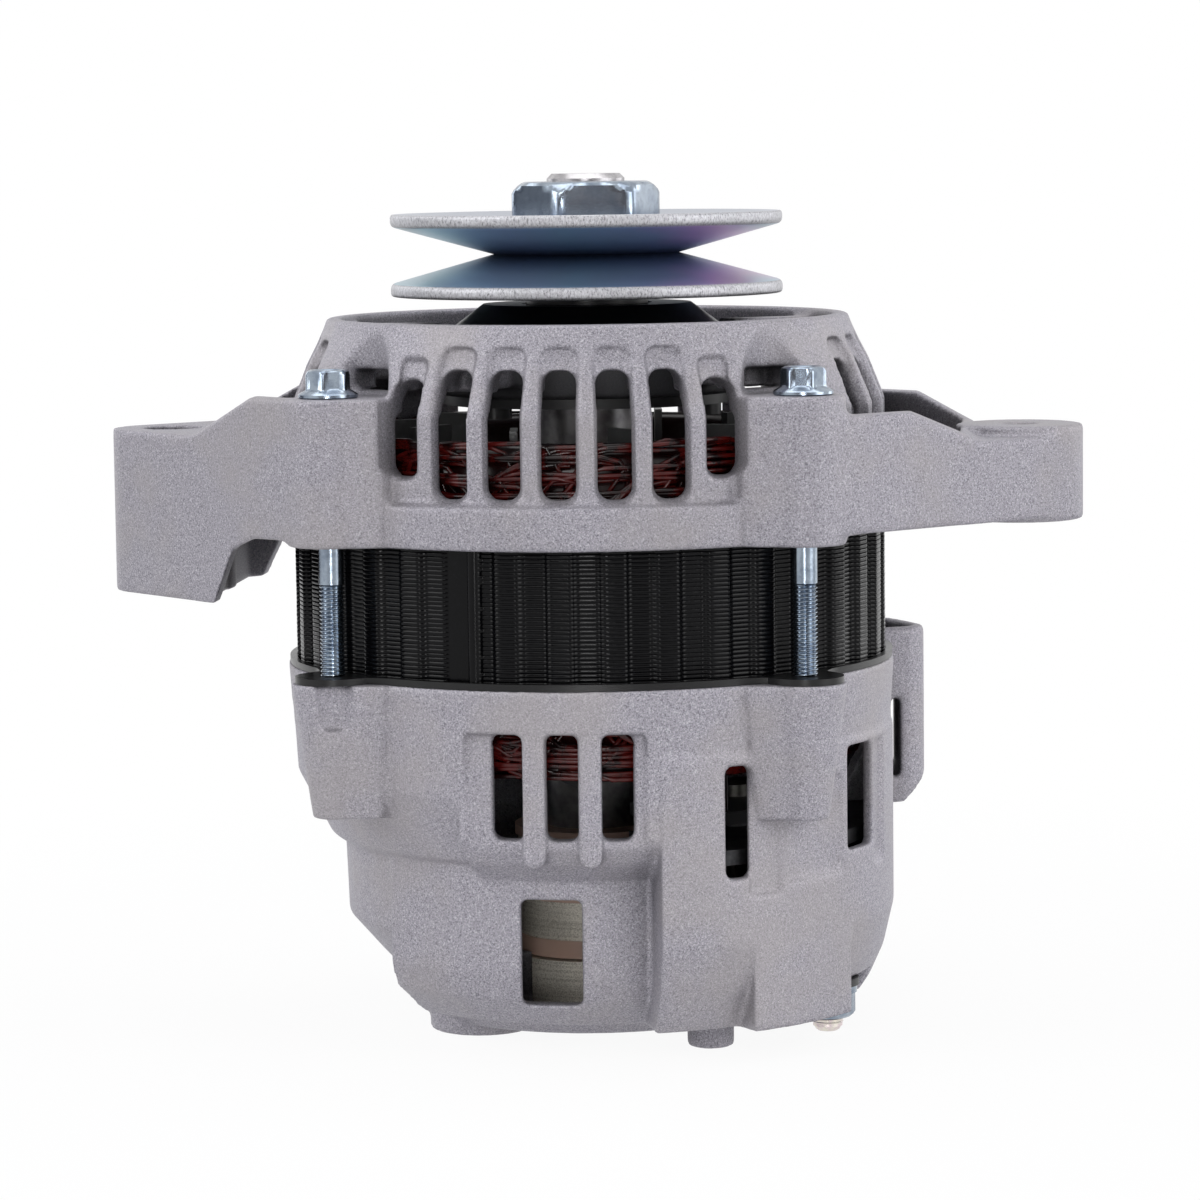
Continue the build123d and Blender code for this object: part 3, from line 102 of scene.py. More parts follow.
class Term:
    """A socket of a shader tree that takes part in arithmetic like a number."""

    def __init__(self, shader: "Shader", socket: bpy.types.NodeSocket) -> None:
        """Wraps an output socket of a shader's tree."""
        self.shader = shader
        self.socket = socket

    def _math(self, operation: str, first: Any, second: Any) -> "Term":
        """Adds one Math node.

        Args:
            operation: Blender's name for the operation.
            first: First operand.
            second: Second operand.

        Returns:
            The node's result.
        """
        return self.shader.node("ShaderNodeMath", {"operation": operation}, {0: first, 1: second})

    def __add__(self, other: Any) -> "Term":
        """Sum."""
        return self._math("ADD", self, other)

    __radd__ = __add__

    def __sub__(self, other: Any) -> "Term":
        """Difference."""
        return self._math("SUBTRACT", self, other)

    def __rsub__(self, other: Any) -> "Term":
        """Difference with a number in front."""
        return self._math("SUBTRACT", other, self)

    def __mul__(self, other: Any) -> "Term":
        """Product."""
        return self._math("MULTIPLY", self, other)

    __rmul__ = __mul__

    def most(self, other: Any) -> "Term":
        """Larger of the two."""
        return self._math("MAXIMUM", self, other)

    def over(self, edge: Number) -> "Term":
        """One where the value is over an edge, otherwise zero."""
        return self._math("GREATER_THAN", self, edge)

    def within(self, low: Number, high: Number) -> "Term":
        """Smooth step from zero at low to one at high."""
        settings = {"interpolation_type": "SMOOTHSTEP"}
        values = {"Value": self, "From Min": low, "From Max": high, "To Min": 0.0, "To Max": 1.0}
        return self.shader.node("ShaderNodeMapRange", settings, values)

    def part(self, key: Union[str, int]) -> "Term":
        """Another output of the same node, by name or number."""
        return Term(self.shader, self.socket.node.outputs[key])


class Shader:
    """Builds the nodes of one material or of the world."""

    def __init__(self, name: str, world: Optional[bpy.types.World] = None) -> None:
        """Starts an empty tree.

        Args:
            name: Name of the new material.
            world: The world, where the tree is the world's and no material is made.
        """
        self.owner = world or bpy.data.materials.new(name)
        self.owner.use_nodes = True
        self.tree = self.owner.node_tree
        self.tree.nodes.clear()
        kind = "ShaderNodeOutputWorld" if world else "ShaderNodeOutputMaterial"
        self.output = self.tree.nodes.new(kind)
        self._position: Optional[Term] = None

    def node(self, kind: str, settings: Optional[dict] = None, inputs: Optional[dict] = None) -> Term:
        """Adds a node, its settings first and then the values or links of its sockets.

        Args:
            kind: The node's type.
            settings: Attributes of the node; stops is a list of (place, colour) for a ramp.
            inputs: Values, colours or terms by socket name or number.

        Returns:
            The node's first output.
        """
        made = self.tree.nodes.new(kind)
        for key, value in (settings or {}).items():
            if key == "stops":
                self._set_stops(made.color_ramp, value)
            else:
                setattr(made, key, value)
        for key, value in (inputs or {}).items():
            socket = made.inputs[key]
            if isinstance(value, Term):
                self.tree.links.new(value.socket, socket)
            else:
                socket.default_value = (*value, 1.0) if socket.type == "RGBA" else value
        return Term(self, made.outputs[0])

    def _set_stops(self, ramp: bpy.types.ColorRamp, stops: Sequence[tuple]) -> None:
        """Puts the stops of a ramp in place.

        Args:
            ramp: The ramp to fill.
            stops: Pairs of place and grey value or colour.
        """
        while len(ramp.elements) < len(stops):
            ramp.elements.new(1.0)
        for element, (place, colour) in zip(ramp.elements, stops):
            element.position = place
            element.color = (*((colour,) * 3 if isinstance(colour, float) else colour), 1.0)

    def close(self, last: Term) -> Union[bpy.types.Material, bpy.types.World]:
        """Links the last node to the output and returns the material or the world."""
        self.tree.links.new(last.socket, self.output.inputs["Surface"])
        return self.owner

    @property
    def position(self) -> Term:
        """Place on the object, in metres, the same in every view."""
        if self._position is None:
            self._position = self.node("ShaderNodeTexCoord").part("Object")
        return self._position

    def stretched(self, x: Number, y: Number, z: Number) -> Term:
        """The position with each axis multiplied by its own factor."""
        values = {0: self.position, 1: (x, y, z)}
        return self.node("ShaderNodeVectorMath", {"operation": "MULTIPLY"}, values)

    def split(self, vector: Term) -> tuple[Term, Term, Term]:
        """A vector as three numbers."""
        parts = self.node("ShaderNodeSeparateXYZ", inputs={0: vector})
        return parts, parts.part("Y"), parts.part("Z")

    def facing_up(self) -> Term:
        """One where the surface faces up the shaft, otherwise zero."""
        normal = self.node("ShaderNodeNewGeometry").part("Normal")
        return self.split(normal)[2].over(UPWARD)

    def radius(self) -> Term:
        """Distance from the shaft axis, in metres."""
        flat = self.stretched(1.0, 1.0, 0.0)
        return self.node("ShaderNodeVectorMath", {"operation": "LENGTH"}, {0: flat}).part("Value")

    def seen(self) -> Term:
        """One for what the camera, a reflection or glass sees, zero for the light that it gives."""
        path = self.node("ShaderNodeLightPath")
        mirrored = path.part("Is Glossy Ray").most(path.part("Is Transmission Ray"))
        return path.part("Is Camera Ray").most(mirrored)

    def noise(
        self, size: Number, detail: Number = 2.0, rough: Number = 0.5, where: Optional[Term] = None
    ) -> Term:
        """Soft noise.

        Args:
            size: Distance between its lumps, in millimetres.
            detail: Number of finer layers.
            rough: Weight of the finer layers.
            where: Position to read it at, instead of the object's own.

        Returns:
            A value about 0.5.
        """
        values = {"Scale": 1.0 / (size * MM), "Detail": detail, "Roughness": rough}
        return self.node("ShaderNodeTexNoise", None, {"Vector": where or self.position, **values})

    def hollows(self, reach: Number) -> Term:
        """Grey that is white in the open and dark in hollows: painted shade, with some grime, where
        walls close in.

        Args:
            reach: How far away a wall still counts, in millimetres.

        Returns:
            The grey.
        """
        settings = {"samples": 6, "only_local": True}
        openness = self.node("ShaderNodeAmbientOcclusion", settings, {"Distance": reach * MM}).part("AO")
        return self.ramp(openness, [(0.14, 0.04), (0.42, 0.5), (0.78, 1.0)])

    def ramp(self, value: Term, stops: Sequence[tuple]) -> Term:
        """Colours along a value."""
        return self.node("ShaderNodeValToRGB", {"stops": stops}, {0: value})

    def blend(self, share: Any, first: Any, second: Any, mode: str = "MIX") -> Term:
        """Mixes two colours.

        Args:
            share: How much of the second shows.
            first: Colour or term below.
            second: Colour or term above.
            mode: How the two are combined.

        Returns:
            The mixed colour.
        """
        settings = {"data_type": "RGBA", "blend_type": mode}
        return self.node("ShaderNodeMix", settings, {0: share, 6: first, 7: second}).part(2)

    def bump(
        self, height: Term, distance: Number, strength: Number = 1.0, below: Optional[Term] = None
    ) -> Term:
        """Turns a height into a normal.

        Args:
            height: The height, about 0 to 1.
            distance: Its size in millimetres.
            strength: How strongly it shows.
            below: A coarser normal that it lies on.

        Returns:
            The normal.
        """
        values = {"Height": height, "Distance": distance * MM, "Strength": strength}
        return self.node("ShaderNodeBump", None, {**values, "Normal": below} if below else values)

    def surface(self, **sockets: Any) -> bpy.types.Material:
        """Closes the material with a Principled surface.

        Args:
            **sockets: Values or terms by socket name, with spaces written as underscores.

        Returns:
            The finished material.
        """
        named = {key.replace("_", " "): value for key, value in sockets.items()}
        return self.close(self.node("ShaderNodeBsdfPrincipled", None, named))


@dataclass(frozen=True)
class BlastedCasting:
    """Bead-blasted aluminium casting: sparkling grain, faint mottling and small scuffs, with painted
    shade in its hollows and over the front hub.
    """

    name: str = "blasted_casting"
    dark: tuple = (0.150, 0.145, 0.172)
    middle: tuple = (0.318, 0.306, 0.342)
    pale: tuple = (0.520, 0.505, 0.548)
    warm: tuple = (0.345, 0.322, 0.318)
    scuffed: tuple = (0.200, 0.192, 0.205)
    grain: float = 0.46
    fine_grain: float = 0.24
    mottling: float = 24.0
    scuff: float = 1.9
    grain_height: float = 0.15
    shade_reach: float = 50.0
    lightness: float = 0.9
    # Painted shade over the front hub: its colour, how much of it shows, and the radii where it fades
    # out.
    hub_painted_shade: tuple = (0.02, 0.02, 0.022)
    hub_shade: float = 0.9
    hub_radius: float = 33.5
    hub_edge: float = 36.5

    def make(self) -> bpy.types.Material:
        """Builds the material."""
        s = Shader(self.name)
        grain = s.noise(self.grain, 3.0, 0.75)
        fine = s.noise(self.fine_grain, 1.0, 0.5)
        patches = s.noise(self.mottling, 3.0, 0.55)
        speckle = grain * 0.55 + fine * 0.45
        stops = [(0.38, self.dark), (0.48, self.middle), (0.53, self.middle), (0.63, self.pale)]
        base = s.blend(patches.within(0.42, 0.7) * 0.45, s.ramp(speckle, stops), self.warm)
        scuffs = s.noise(self.scuff, 4.0, 0.8, s.stretched(1.0, 1.0, 0.4)).within(0.69, 0.75)
        base = s.blend(scuffs * 0.5, base, self.scuffed)
        # Painted shade, with some grime: darker in the casting's own hollows and creases.
        base = s.blend(1.0, base, s.hollows(self.shade_reach), "MULTIPLY")
        base = s.blend(1.0, base, (self.lightness,) * 3, "MULTIPLY")
        # Painted shade: inside the hub radius the casting darkens towards hub_painted_shade, the shade
        # under the pulley.
        hub = 1.0 - s.radius().within(self.hub_radius * MM, self.hub_edge * MM)
        return s.surface(
            Base_Color=s.blend(hub * self.hub_shade, base, self.hub_painted_shade),
            Metallic=0.5,
            Roughness=0.44 + grain * 0.24,
            Normal=s.bump(speckle, self.grain_height, 0.6),
        )


@dataclass(frozen=True)
class ZincSheet:
    """Blue-bright zinc on pressed sheet, with rainbow tints and a rough sheared rim; painted shade
    darkens the groove towards its root, and a painted reflection greys the faces that look up.
    """

    name: str = "zinc_sheet"
    rim_radius: float = 39.6
    rim_edge: float = 0.15
    root_radius: float = 19.0
    # Painted reflection: the silver-grey of faces that look up, standing in for the light from above.
    upward_painted_sheen: tuple = (0.42, 0.44, 0.49)
    tints: tuple = (
        (0.0, (0.40, 0.47, 0.51)),
        (0.16, (0.34, 0.48, 0.55)),
        (0.32, (0.29, 0.38, 0.52)),
        (0.5, (0.26, 0.39, 0.52)),
        (0.68, (0.28, 0.36, 0.52)),
        (0.8, (0.46, 0.35, 0.56)),
        (0.88, (0.52, 0.42, 0.56)),
        (1.0, (0.38, 0.48, 0.55)),
    )
    # Painted shade in the belt groove: darkest at the root, no change from 60 % of the way out.
    groove_painted_shade: tuple = ((0.0, (0.16, 0.17, 0.26)), (0.22, (0.62, 0.66, 0.78)), (0.6, (1.0, 1.0, 1.0)))
    silvers: tuple = (
        (0.32, (0.15, 0.15, 0.16)),
        (0.46, (0.36, 0.36, 0.38)),
        (0.66, (0.50, 0.50, 0.53)),
    )

    def make(self) -> bpy.types.Material:
        """Builds the material."""
        s = Shader(self.name)
        radius = s.radius()
        travel = (radius - self.root_radius * MM) * (1.0 / ((self.rim_radius - self.root_radius) * MM))
        drift = s.noise(34.0, 2.0, 0.5)
        x, _, z = s.split(s.position)
        tint = s.ramp(x * 11.0 + drift * 0.5 + travel * 0.12 + 0.16, self.tints)
        # Painted shade: the tint darkens towards the groove's root.
        face = s.blend(1.0, tint, s.ramp(travel, self.groove_painted_shade), "MULTIPLY")
        # Painted reflection: faces of the upper half that look up turn silver-grey.
        face = s.blend(s.facing_up() * z.over(0.0), face, self.upward_painted_sheen)
        chips = s.noise(0.34, 3.0, 0.7, s.stretched(1.0, 1.0, 0.45))
        ragged = radius + (chips - 0.5) * 0.0002
        rim = ragged.within(self.rim_radius * MM, (self.rim_radius + self.rim_edge) * MM)
        rings = s.noise(0.3, 2.0, 0.6, s.node("ShaderNodeCombineXYZ", None, {0: radius}))
        normal = s.bump(rings, 0.008, 0.25)
        return s.surface(
            Base_Color=s.blend(rim, face, s.ramp(chips, self.silvers)),
            Metallic=0.72 + rim * 0.2,
            Roughness=0.32 + rim * 0.14 + rings * 0.06,
            Normal=s.bump(chips * rim, 0.10, 0.7, normal),
        )


@dataclass(frozen=True)
class BrightMetal:
    """Plated or ground metal with faint handling marks."""

    name: str
    colour: tuple
    shade: tuple
    roughness: float = 0.22
    patch: float = 3.0
    marks: float = 0.02

    def make(self) -> bpy.types.Material:
        """Builds the material."""
        s = Shader(self.name)
        patches = s.noise(self.patch, 3.0, 0.6)
        marks = s.noise(0.6, 4.0, 0.75)
        return s.surface(
            Base_Color=s.blend(patches.within(0.35, 0.68), self.colour, self.shade),
            Metallic=1.0,
            Roughness=self.roughness + patches * 0.12,
            Normal=s.bump(marks, self.marks, 0.5),
        )


@dataclass(frozen=True)
class GrainedRing:
    """Turned ring metal with the coarse grain of a worn brush track."""

    name: str = "grained_ring"
    dark: tuple = (0.50, 0.45, 0.36)
    # The pale colour is lighter than the ring's metal: painted light, standing in for the light that
    # reaches the rings through the window.
    pale: tuple = (1.0, 0.95, 0.84)

    def make(self) -> bpy.types.Material:
        """Builds the material."""
        s = Shader(self.name)
        grain = s.noise(0.3, 4.0, 0.8)
        bands = s.noise(0.5, 2.0, 0.5, s.stretched(0.02, 0.02, 1.0))
        return s.surface(
            Base_Color=s.blend((grain * 0.75 + bands * 0.25).within(0.36, 0.6), self.dark, self.pale),
            Metallic=0.3,
            Roughness=0.34 + grain * 0.2,
            Normal=s.bump(grain, 0.05, 0.5),
        )


@dataclass(frozen=True)
class Varnish:
    """Gloss varnish or paint over metal, with dust and uneven film."""

    name: str
    colour: tuple
    dust: tuple
    roughness: float = 0.2
    coat: float = 0.3
    grain: float = 1.2
    dusting: float = 0.25
    depth: float = 0.03
    shine: float = 0.5

    def make(self) -> bpy.types.Material:
        """Builds the material."""
        s = Shader(self.name)
        film = s.noise(self.grain, 4.0, 0.65)
        patches = s.noise(self.grain * 9.0, 2.0, 0.5)
        dusting = (film * 0.6 + patches * 0.4).within(0.5, 0.72) * self.dusting
        return s.surface(
            Base_Color=s.blend(dusting, self.colour, self.dust),
            Roughness=self.roughness + film * 0.16,
            Coat_Weight=self.coat,
            Coat_Roughness=0.12,
            Specular_IOR_Level=self.shine,
            Normal=s.bump(film, self.depth, 0.5),
        )


@dataclass(frozen=True)
class Moulding:
    """Moulded resin, matte, with a very fine grain."""

    name: str
    colour: tuple
    pale: tuple
    roughness: float = 0.5

    def make(self) -> bpy.types.Material:
        """Builds the material."""
        s = Shader(self.name)
        grain = s.noise(0.25, 2.0, 0.6)
        patches = s.noise(8.0, 3.0, 0.5)
        return s.surface(
            Base_Color=s.blend(patches.within(0.4, 0.7) * 0.5, self.colour, self.pale),
            Roughness=self.roughness + grain * 0.12,
            Normal=s.bump(grain, 0.03, 0.4),
        )


@dataclass(frozen=True)
class EnamelledWire:
    """Dark red enamel on copper wire, glossy, with painted shade that darkens it inside the winding."""

    name: str = "enamelled_wire"
    deep_painted_shade: tuple = (0.006, 0.001, 0.001)
    bright: tuple = (0.075, 0.005, 0.004)
    inner: float = 52.6
    outer: float = 55.6

    def make(self) -> bpy.types.Material:
        """Builds the material."""
        s = Shader(self.name)
        patches = s.noise(4.0, 3.0, 0.6)
        # Painted shade: the wire is near black inside the inner radius and takes its red only towards
        # the outer radius.
        outside = s.radius().within(self.inner * MM, self.outer * MM)
        return s.surface(
            Base_Color=s.blend(patches.within(0.38, 0.62) * outside, self.deep_painted_shade, self.bright),
            Roughness=0.18 + patches * 0.1,
            Coat_Weight=0.15,
            Coat_Roughness=0.15,
            Specular_IOR_Level=0.3,
            Normal=s.bump(patches, 0.05, 0.3),
        )


class Finishes:
    """Every finish of the alternator, made once and handed out by name."""

    def __init__(self) -> None:
        """Builds the materials."""
        recipes = [
            BlastedCasting(),
            # The rear bracket gets no painted hub shade.
            BlastedCasting("pale_casting", lightness=0.98, hub_shade=0.0),
            ZincSheet(),
            BrightMetal("zinc_fastener", (0.31, 0.36, 0.42), (0.20, 0.24, 0.30), 0.15),
            BrightMetal("shaft_steel", (0.42, 0.41, 0.42), (0.28, 0.27, 0.28), 0.3),
            BrightMetal("bearing_steel", (0.62, 0.62, 0.63), (0.5, 0.5, 0.51), 0.16),
            BrightMetal("stud_tin", (0.74, 0.70, 0.62), (0.66, 0.56, 0.58), 0.28, 1.2, 0.05),
            # Painted shade: the heat sinks are near black, standing for the shade inside the rear
            # bracket's windows.
            BrightMetal("sink_aluminium", (0.055, 0.055, 0.058), (0.03, 0.03, 0.032), 0.45),
            BrightMetal("diode_can", (0.10, 0.098, 0.09), (0.06, 0.058, 0.052), 0.38),
            BrightMetal("tinned_copper", (0.72, 0.66, 0.58), (0.6, 0.5, 0.42), 0.3),
            GrainedRing(),
            Varnish(
                "black_laminations", (0.0015, 0.0015, 0.002), (0.006, 0.006, 0.008),
                roughness=0.1, coat=0.0, grain=0.9, dusting=0.3, depth=0.02, shine=0.14,
            ),
            Varnish(
                "black_plate", (0.004, 0.004, 0.0045), (0.02, 0.02, 0.022),
                roughness=0.24, coat=0.1, grain=1.6, dusting=0.3, shine=0.3,
            ),
            Varnish(
                "black_oxide", (0.010, 0.010, 0.011), (0.03, 0.03, 0.03),
                roughness=0.3, coat=0.0, grain=1.5, dusting=0.3, depth=0.02, shine=0.4,
            ),
            Varnish(
                "pole_iron", (0.022, 0.022, 0.021), (0.10, 0.10, 0.095),
                roughness=0.34, coat=0.1, grain=2.0, dusting=0.4, depth=0.08,
            ),
            Varnish(
                "fan_sheet", (0.045, 0.046, 0.046), (0.15, 0.15, 0.15),
                roughness=0.36, coat=0.1, grain=2.4, dusting=0.3, depth=0.04,
            ),
            Varnish(
                "field_wire", (0.15, 0.045, 0.02), (0.30, 0.12, 0.06),
                roughness=0.28, coat=0.4, grain=0.9, dusting=0.5, depth=0.06,
            ),
            EnamelledWire(),
            Moulding("ring_resin", (0.62, 0.42, 0.33), (0.72, 0.52, 0.43), 0.42),
            Moulding("black_resin", (0.014, 0.014, 0.015), (0.03, 0.03, 0.032), 0.42),
            Moulding("carbon", (0.02, 0.02, 0.021), (0.06, 0.05, 0.045), 0.6),
        ]
        self.made = {recipe.name: recipe.make() for recipe in recipes}

    def __getitem__(self, name: str) -> bpy.types.Material:
        """The material of that name."""
        return self.made[name]


FINISH_NODES = {
    "blasted_casting": ("front_bracket",),
    "pale_casting": ("rear_bracket",),
    "zinc_sheet": ("pulley_front_half", "pulley_rear_half"),
    "zinc_fastener": ("pulley_nut", "pulley_lock_washer", "through_bolts", "stud_washer", "stud_nut"),
    "black_oxide": ("front_spacer", "bearing_retainer", "retainer_screws"),
    "shaft_steel": ("rotor_shaft",),
    "black_laminations": ("stator_core",),
    "enamelled_wire": ("stator_winding", "stator_leads"),
    "pole_iron": ("front_pole_core", "rear_pole_core"),
    "fan_sheet": ("front_fan", "rear_fan"),
    "field_wire": ("field_coil",),
    "grained_ring": ("slip_ring_inner", "slip_ring_outer", "rear_bearing_outer_race"),
    "ring_resin": ("slip_ring_insulator",),
    "carbon": ("brush_inner", "brush_outer"),
    "sink_aluminium": ("positive_heat_sink", "negative_heat_sink"),
    "diode_can": ("rectifier_diodes", "rectifier_screws", "regulator_screws"),
    "stud_tin": ("output_stud", "stud_cap"),
    "tinned_copper": ("signal_blades",),
    "black_resin": (
        "field_bobbin",
        "brush_holder",
        "voltage_regulator",
        "rectifier_terminal_board",
        "rectifier_spacers",
        "stud_insulator",
        "signal_socket",
    ),
}
OTHER_NODES = "bearing_steel"


class Mesh:
    """Collects vertices and faces in millimetres and turns them into a piece."""

    def __init__(self) -> None:
        """Starts empty."""
        self.points: list[Vector] = []
        self.faces: list[tuple[int, ...]] = []

    def add(self, points: Sequence[Vector], faces: Sequence[tuple[int, ...]]) -> None:
        """Adds a patch.

        Args:
            points: Its corners, in millimetres.
            faces: Its faces, numbered from its own first corner.
        """
        start = len(self.points)
        self.points.extend(points)
        self.faces.extend(tuple(i + start for i in face) for face in faces)

    def grid(self, rows: Sequence[Sequence[Vector]]) -> None:
        """Adds a skin over rows of points, each row a closed loop of the same length."""
        wide = len(rows[0])
        faces = []
        for r in range(len(rows) - 1):
            for c in range(wide):
                here, beside = r * wide + c, r * wide + (c + 1) % wide
                faces.append((here, beside, beside + wide, here + wide))
        self.add([p for row in rows for p in row], faces)

    def lids(self, rows: Sequence[Sequence[Vector]]) -> None:
        """Closes both ends of a skin with one flat face each."""
        order = tuple(range(len(rows[0])))
        self.add(rows[0], [order])
        self.add(rows[-1], [order[::-1]])

    def tube(self, path: Sequence[Vector], radius: float, sides: int = 6) -> None:
        """Adds a closed round tube along a path.

        Args:
            path: Points of its middle line.
            radius: Its radius.
            sides: Number of sides.
        """
        turns = full_turn(sides)
        rows = []
        for i, point in enumerate(path):
            along = (path[min(i + 1, len(path) - 1)] - path[max(i - 1, 0)]).normalized()
            helper = Vector((0, 0, 1)) if abs(along.z) < 0.9 else Vector((1, 0, 0))
            across = along.cross(helper).normalized()
            up = across.cross(along)
            rows.append([point + (across * math.cos(t) + up * math.sin(t)) * radius for t in turns])
        self.grid(rows)
        self.lids(rows)

    def turned(self, outline: Sequence[tuple], steps: int, centre: Vector = Vector()) -> None:
        """Adds a closed solid of revolution about an upright axis.

        Args:
            outline: Points of radius and height; it closes on itself.
            steps: Number of steps round the axis.
            centre: Where the axis stands.
        """
        turns = full_turn(steps)
        loops = [[centre + around(r, t, z) for t in turns] for r, z in outline]
        self.grid(loops + [loops[0]])

    def hexagonal(
        self, centre: Vector, across_flats: float, turn: float, profile: Sequence[tuple]
    ) -> None:
        """Adds a turned form whose rings are cut to a hexagon where the profile says so.

        Args:
            centre: A point on its axis, at height zero of the profile.
            across_flats: Width of the hexagon.
            turn: Angle of its first corner, in radians.
            profile: Triples of hexagon share, height and largest radius; it closes on itself.
        """
        turns = full_turn(HEX_STEPS)
        rows = []
        for share, rise, limit in profile:
            row = []
            for angle in turns:
                wedge = (angle - turn + HEX_HALF) % (2 * HEX_HALF) - HEX_HALF
                flat = across_flats / 2 / math.cos(HEX_HALF - abs(wedge))
                row.append(centre + around(limit + (min(flat, limit) - limit) * share, angle, rise))
            rows.append(row)
        self.grid(rows + [rows[0]])

    def thread(
        self, centre: Vector, radius: float, depth: float, pitch: float, low: float, high: float
    ) -> None:
        """Adds a threaded rod whose ridges climb as a helix.

        Args:
            centre: A point on its axis.
            radius: Outer radius of the thread.
            depth: Depth of its grooves.
            pitch: Rise of one turn.
            low: Height of its lower end.
            high: Height of its upper end.
        """
        sides, rings_per_pitch, crest = 28, 6, 1.25
        rings = int((high - low) / pitch * rings_per_pitch)
        rows = []
        for i in range(rings + 1):
            z = low + (high - low) * i / rings
            row = []
            for k, angle in enumerate(full_turn(sides)):
                ridge = 1.0 - abs(2 * ((z / pitch - k / sides) % 1.0) - 1.0)
                row.append(centre + around(radius - depth * (1 - min(ridge * crest, 1.0)), angle, z))
            rows.append(row)
        self.grid(rows)
        self.lids(rows)

    def piece(
        self, name: str, finish: bpy.types.Material, body: Body, slot: str, smooth: float
    ) -> bpy.types.Object:
        """Makes the object and lets it ride on its body.

        Args:
            name: The piece's name.
            finish: Its material.
            body: The body it rides on.
            slot: Not used.
            smooth: Largest angle in degrees that is shaded smoothly.

        Returns:
            The finished object.
        """
        data = bpy.data.meshes.new(name)
        data.from_pydata([p * MM for p in self.points], [], self.faces)
        build = bmesh.new()
        build.from_mesh(data)
        bmesh.ops.remove_doubles(build, verts=build.verts, dist=1e-6)
        bmesh.ops.recalc_face_normals(build, faces=build.faces)
        build.to_mesh(data)
        build.free()
        data.polygons.foreach_set("use_smooth", [True] * len(data.polygons))
        data.set_sharp_from_angle(angle=math.radians(smooth))
        data.materials.append(finish)
        made = placed(name, data)
        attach(made, body.value)
        return made


@dataclass
class SubAssembly:
    """What every sub-assembly is given: the finishes that dress its pieces."""

    finishes: Finishes


@dataclass
class CarriedNodes(SubAssembly):
    """The nodes whose shape is kept: they get their finish, and the castings soft edges."""

    facet: float = 0.62
    smoothing: int = 5
    sharp_angle: float = 32.0

    def dress(self) -> None:
        """Gives every node its finish."""
        finish_of = {node: finish for finish, nodes in FINISH_NODES.items() for node in nodes}
        for name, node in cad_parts.items():
            data = node.data
            data.materials.clear()
            data.materials.append(self.finishes[finish_of.get(name, OTHER_NODES)])
            data.polygons.foreach_set("use_smooth", [True] * len(data.polygons))
            data.set_sharp_from_angle(angle=math.radians(self.sharp_angle))

    def soften(self, name: str) -> bpy.types.Object:
        """Rounds the edges of a casting over about one facet and returns its node."""
        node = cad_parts[name]
        remesh = node.modifiers.new("facets", "REMESH")
        remesh.mode = "VOXEL"
        remesh.voxel_size = self.facet * MM
        remesh.use_smooth_shade = True
        relax = node.modifiers.new("rounding", "SMOOTH")
        relax.factor = 0.5
        relax.iterations = self.smoothing
        return node

    def build(self) -> list[bpy.types.Object]:
        """Dresses the nodes and returns the softened castings."""
        self.dress()
        return [self.soften("front_bracket"), self.soften("rear_bracket")]


@dataclass
class LaminatedCore(SubAssembly):
    """Stator core of varnished sheets, with upright flutes and a weld seam."""

    radius: float = 61.0
    bore: float = 45.3
    sheet: float = 0.86
    sheet_edge: tuple = ((0.0, 1.0), (0.14, 0.35), (0.32, 0.0), (0.68, 0.0), (0.86, 0.35), (1.0, 1.0))
    groove: float = 0.13
    shift: float = 0.02
    raggedness: float = 0.015
    flutes: int = 36
    flute_inset: float = 0.15
    flute_depth: float = 1.25
    flute_start: float = 0.2
    flute_end: float = 0.7
    wall_share: float = 0.11
    seam_angle: float = math.radians(-106.6)
    seam_half: float = math.radians(1.25)
    seam_inset: float = 0.6
    seam_foot: float = 0.1
    seam_bulge: float = 0.5
    channel: float = math.radians(6.2)
    steps: int = 720
    seed: int = 7

    def seam(self, angle: float) -> tuple[float, float]:
        """The weld seam and the smooth channel beside it.

        Args:
            angle: Angle in radians.

        Returns:
            How far the seam stands out there, and the share of the sheets' edges that it hides.
        """
        away = (angle - self.seam_angle + math.pi) % (2 * math.pi) - math.pi
        if abs(away) < self.seam_half:
            return self.seam_foot + self.seam_bulge * math.cos(away / self.seam_half * math.pi / 2), 1.0
        if -self.channel < away < 0:
            return -self.flute_depth, 1.0
        return 0.0, 0.0

    def outside(self, angle: float, rng: random.Random) -> float:
        """Outer radius at an angle.

        Args:
            angle: Angle in radians.
            rng: Source of the small unevenness, read once at every angle.

        Returns:
            The radius in millimetres.
        """
        rise, hidden = self.seam(angle)
        rough = rng.uniform(-1, 1) * self.raggedness
        if hidden:
            return self.radius - self.seam_inset + rise
        phase = (angle * self.flutes / (2 * math.pi)) % 1.0
        into, out = ((phase - edge) / self.wall_share for edge in (self.flute_start, self.flute_end))
        sunk = min(max(into, 0.0), 1.0) - min(max(out, 0.0), 1.0)
        return self.radius - self.flute_inset - self.flute_depth * sunk + rough

    def build(self) -> list[bpy.types.Object]:
        """Builds the stack of sheets and returns it."""
        low, high = heights("stator_core")
        count = round((high - low) / self.sheet)
        sheet = (high - low) / count
        rng = random.Random(self.seed)
        turns = full_turn(self.steps)
        shown = [1 - self.seam(t)[1] for t in turns]
        rows = []
        for i in range(count):
            lift = rng.uniform(-self.shift, self.shift)
            wave = [self.outside(t, rng) + lift * share for t, share in zip(turns, shown)]
            for place, inset in self.sheet_edge:
                level = low + (i + place) * sheet
                cut = [self.groove * inset * share for share in shown]
                rows.append([around(r - c, t, level) for r, c, t in zip(wave, cut, turns)])
        mesh = Mesh()
        mesh.grid(rows)
        bore_top, bore_low = ([around(self.bore, t, level) for t in turns] for level in (high, low))
        mesh.grid([rows[-1], bore_top, bore_low, rows[0]])
        finish = self.finishes["black_laminations"]
        core = mesh.piece("stator_sheets", finish, Body.HOUSING, "black_laminations", 60.0)
        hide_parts("stator_core")
        return [core]


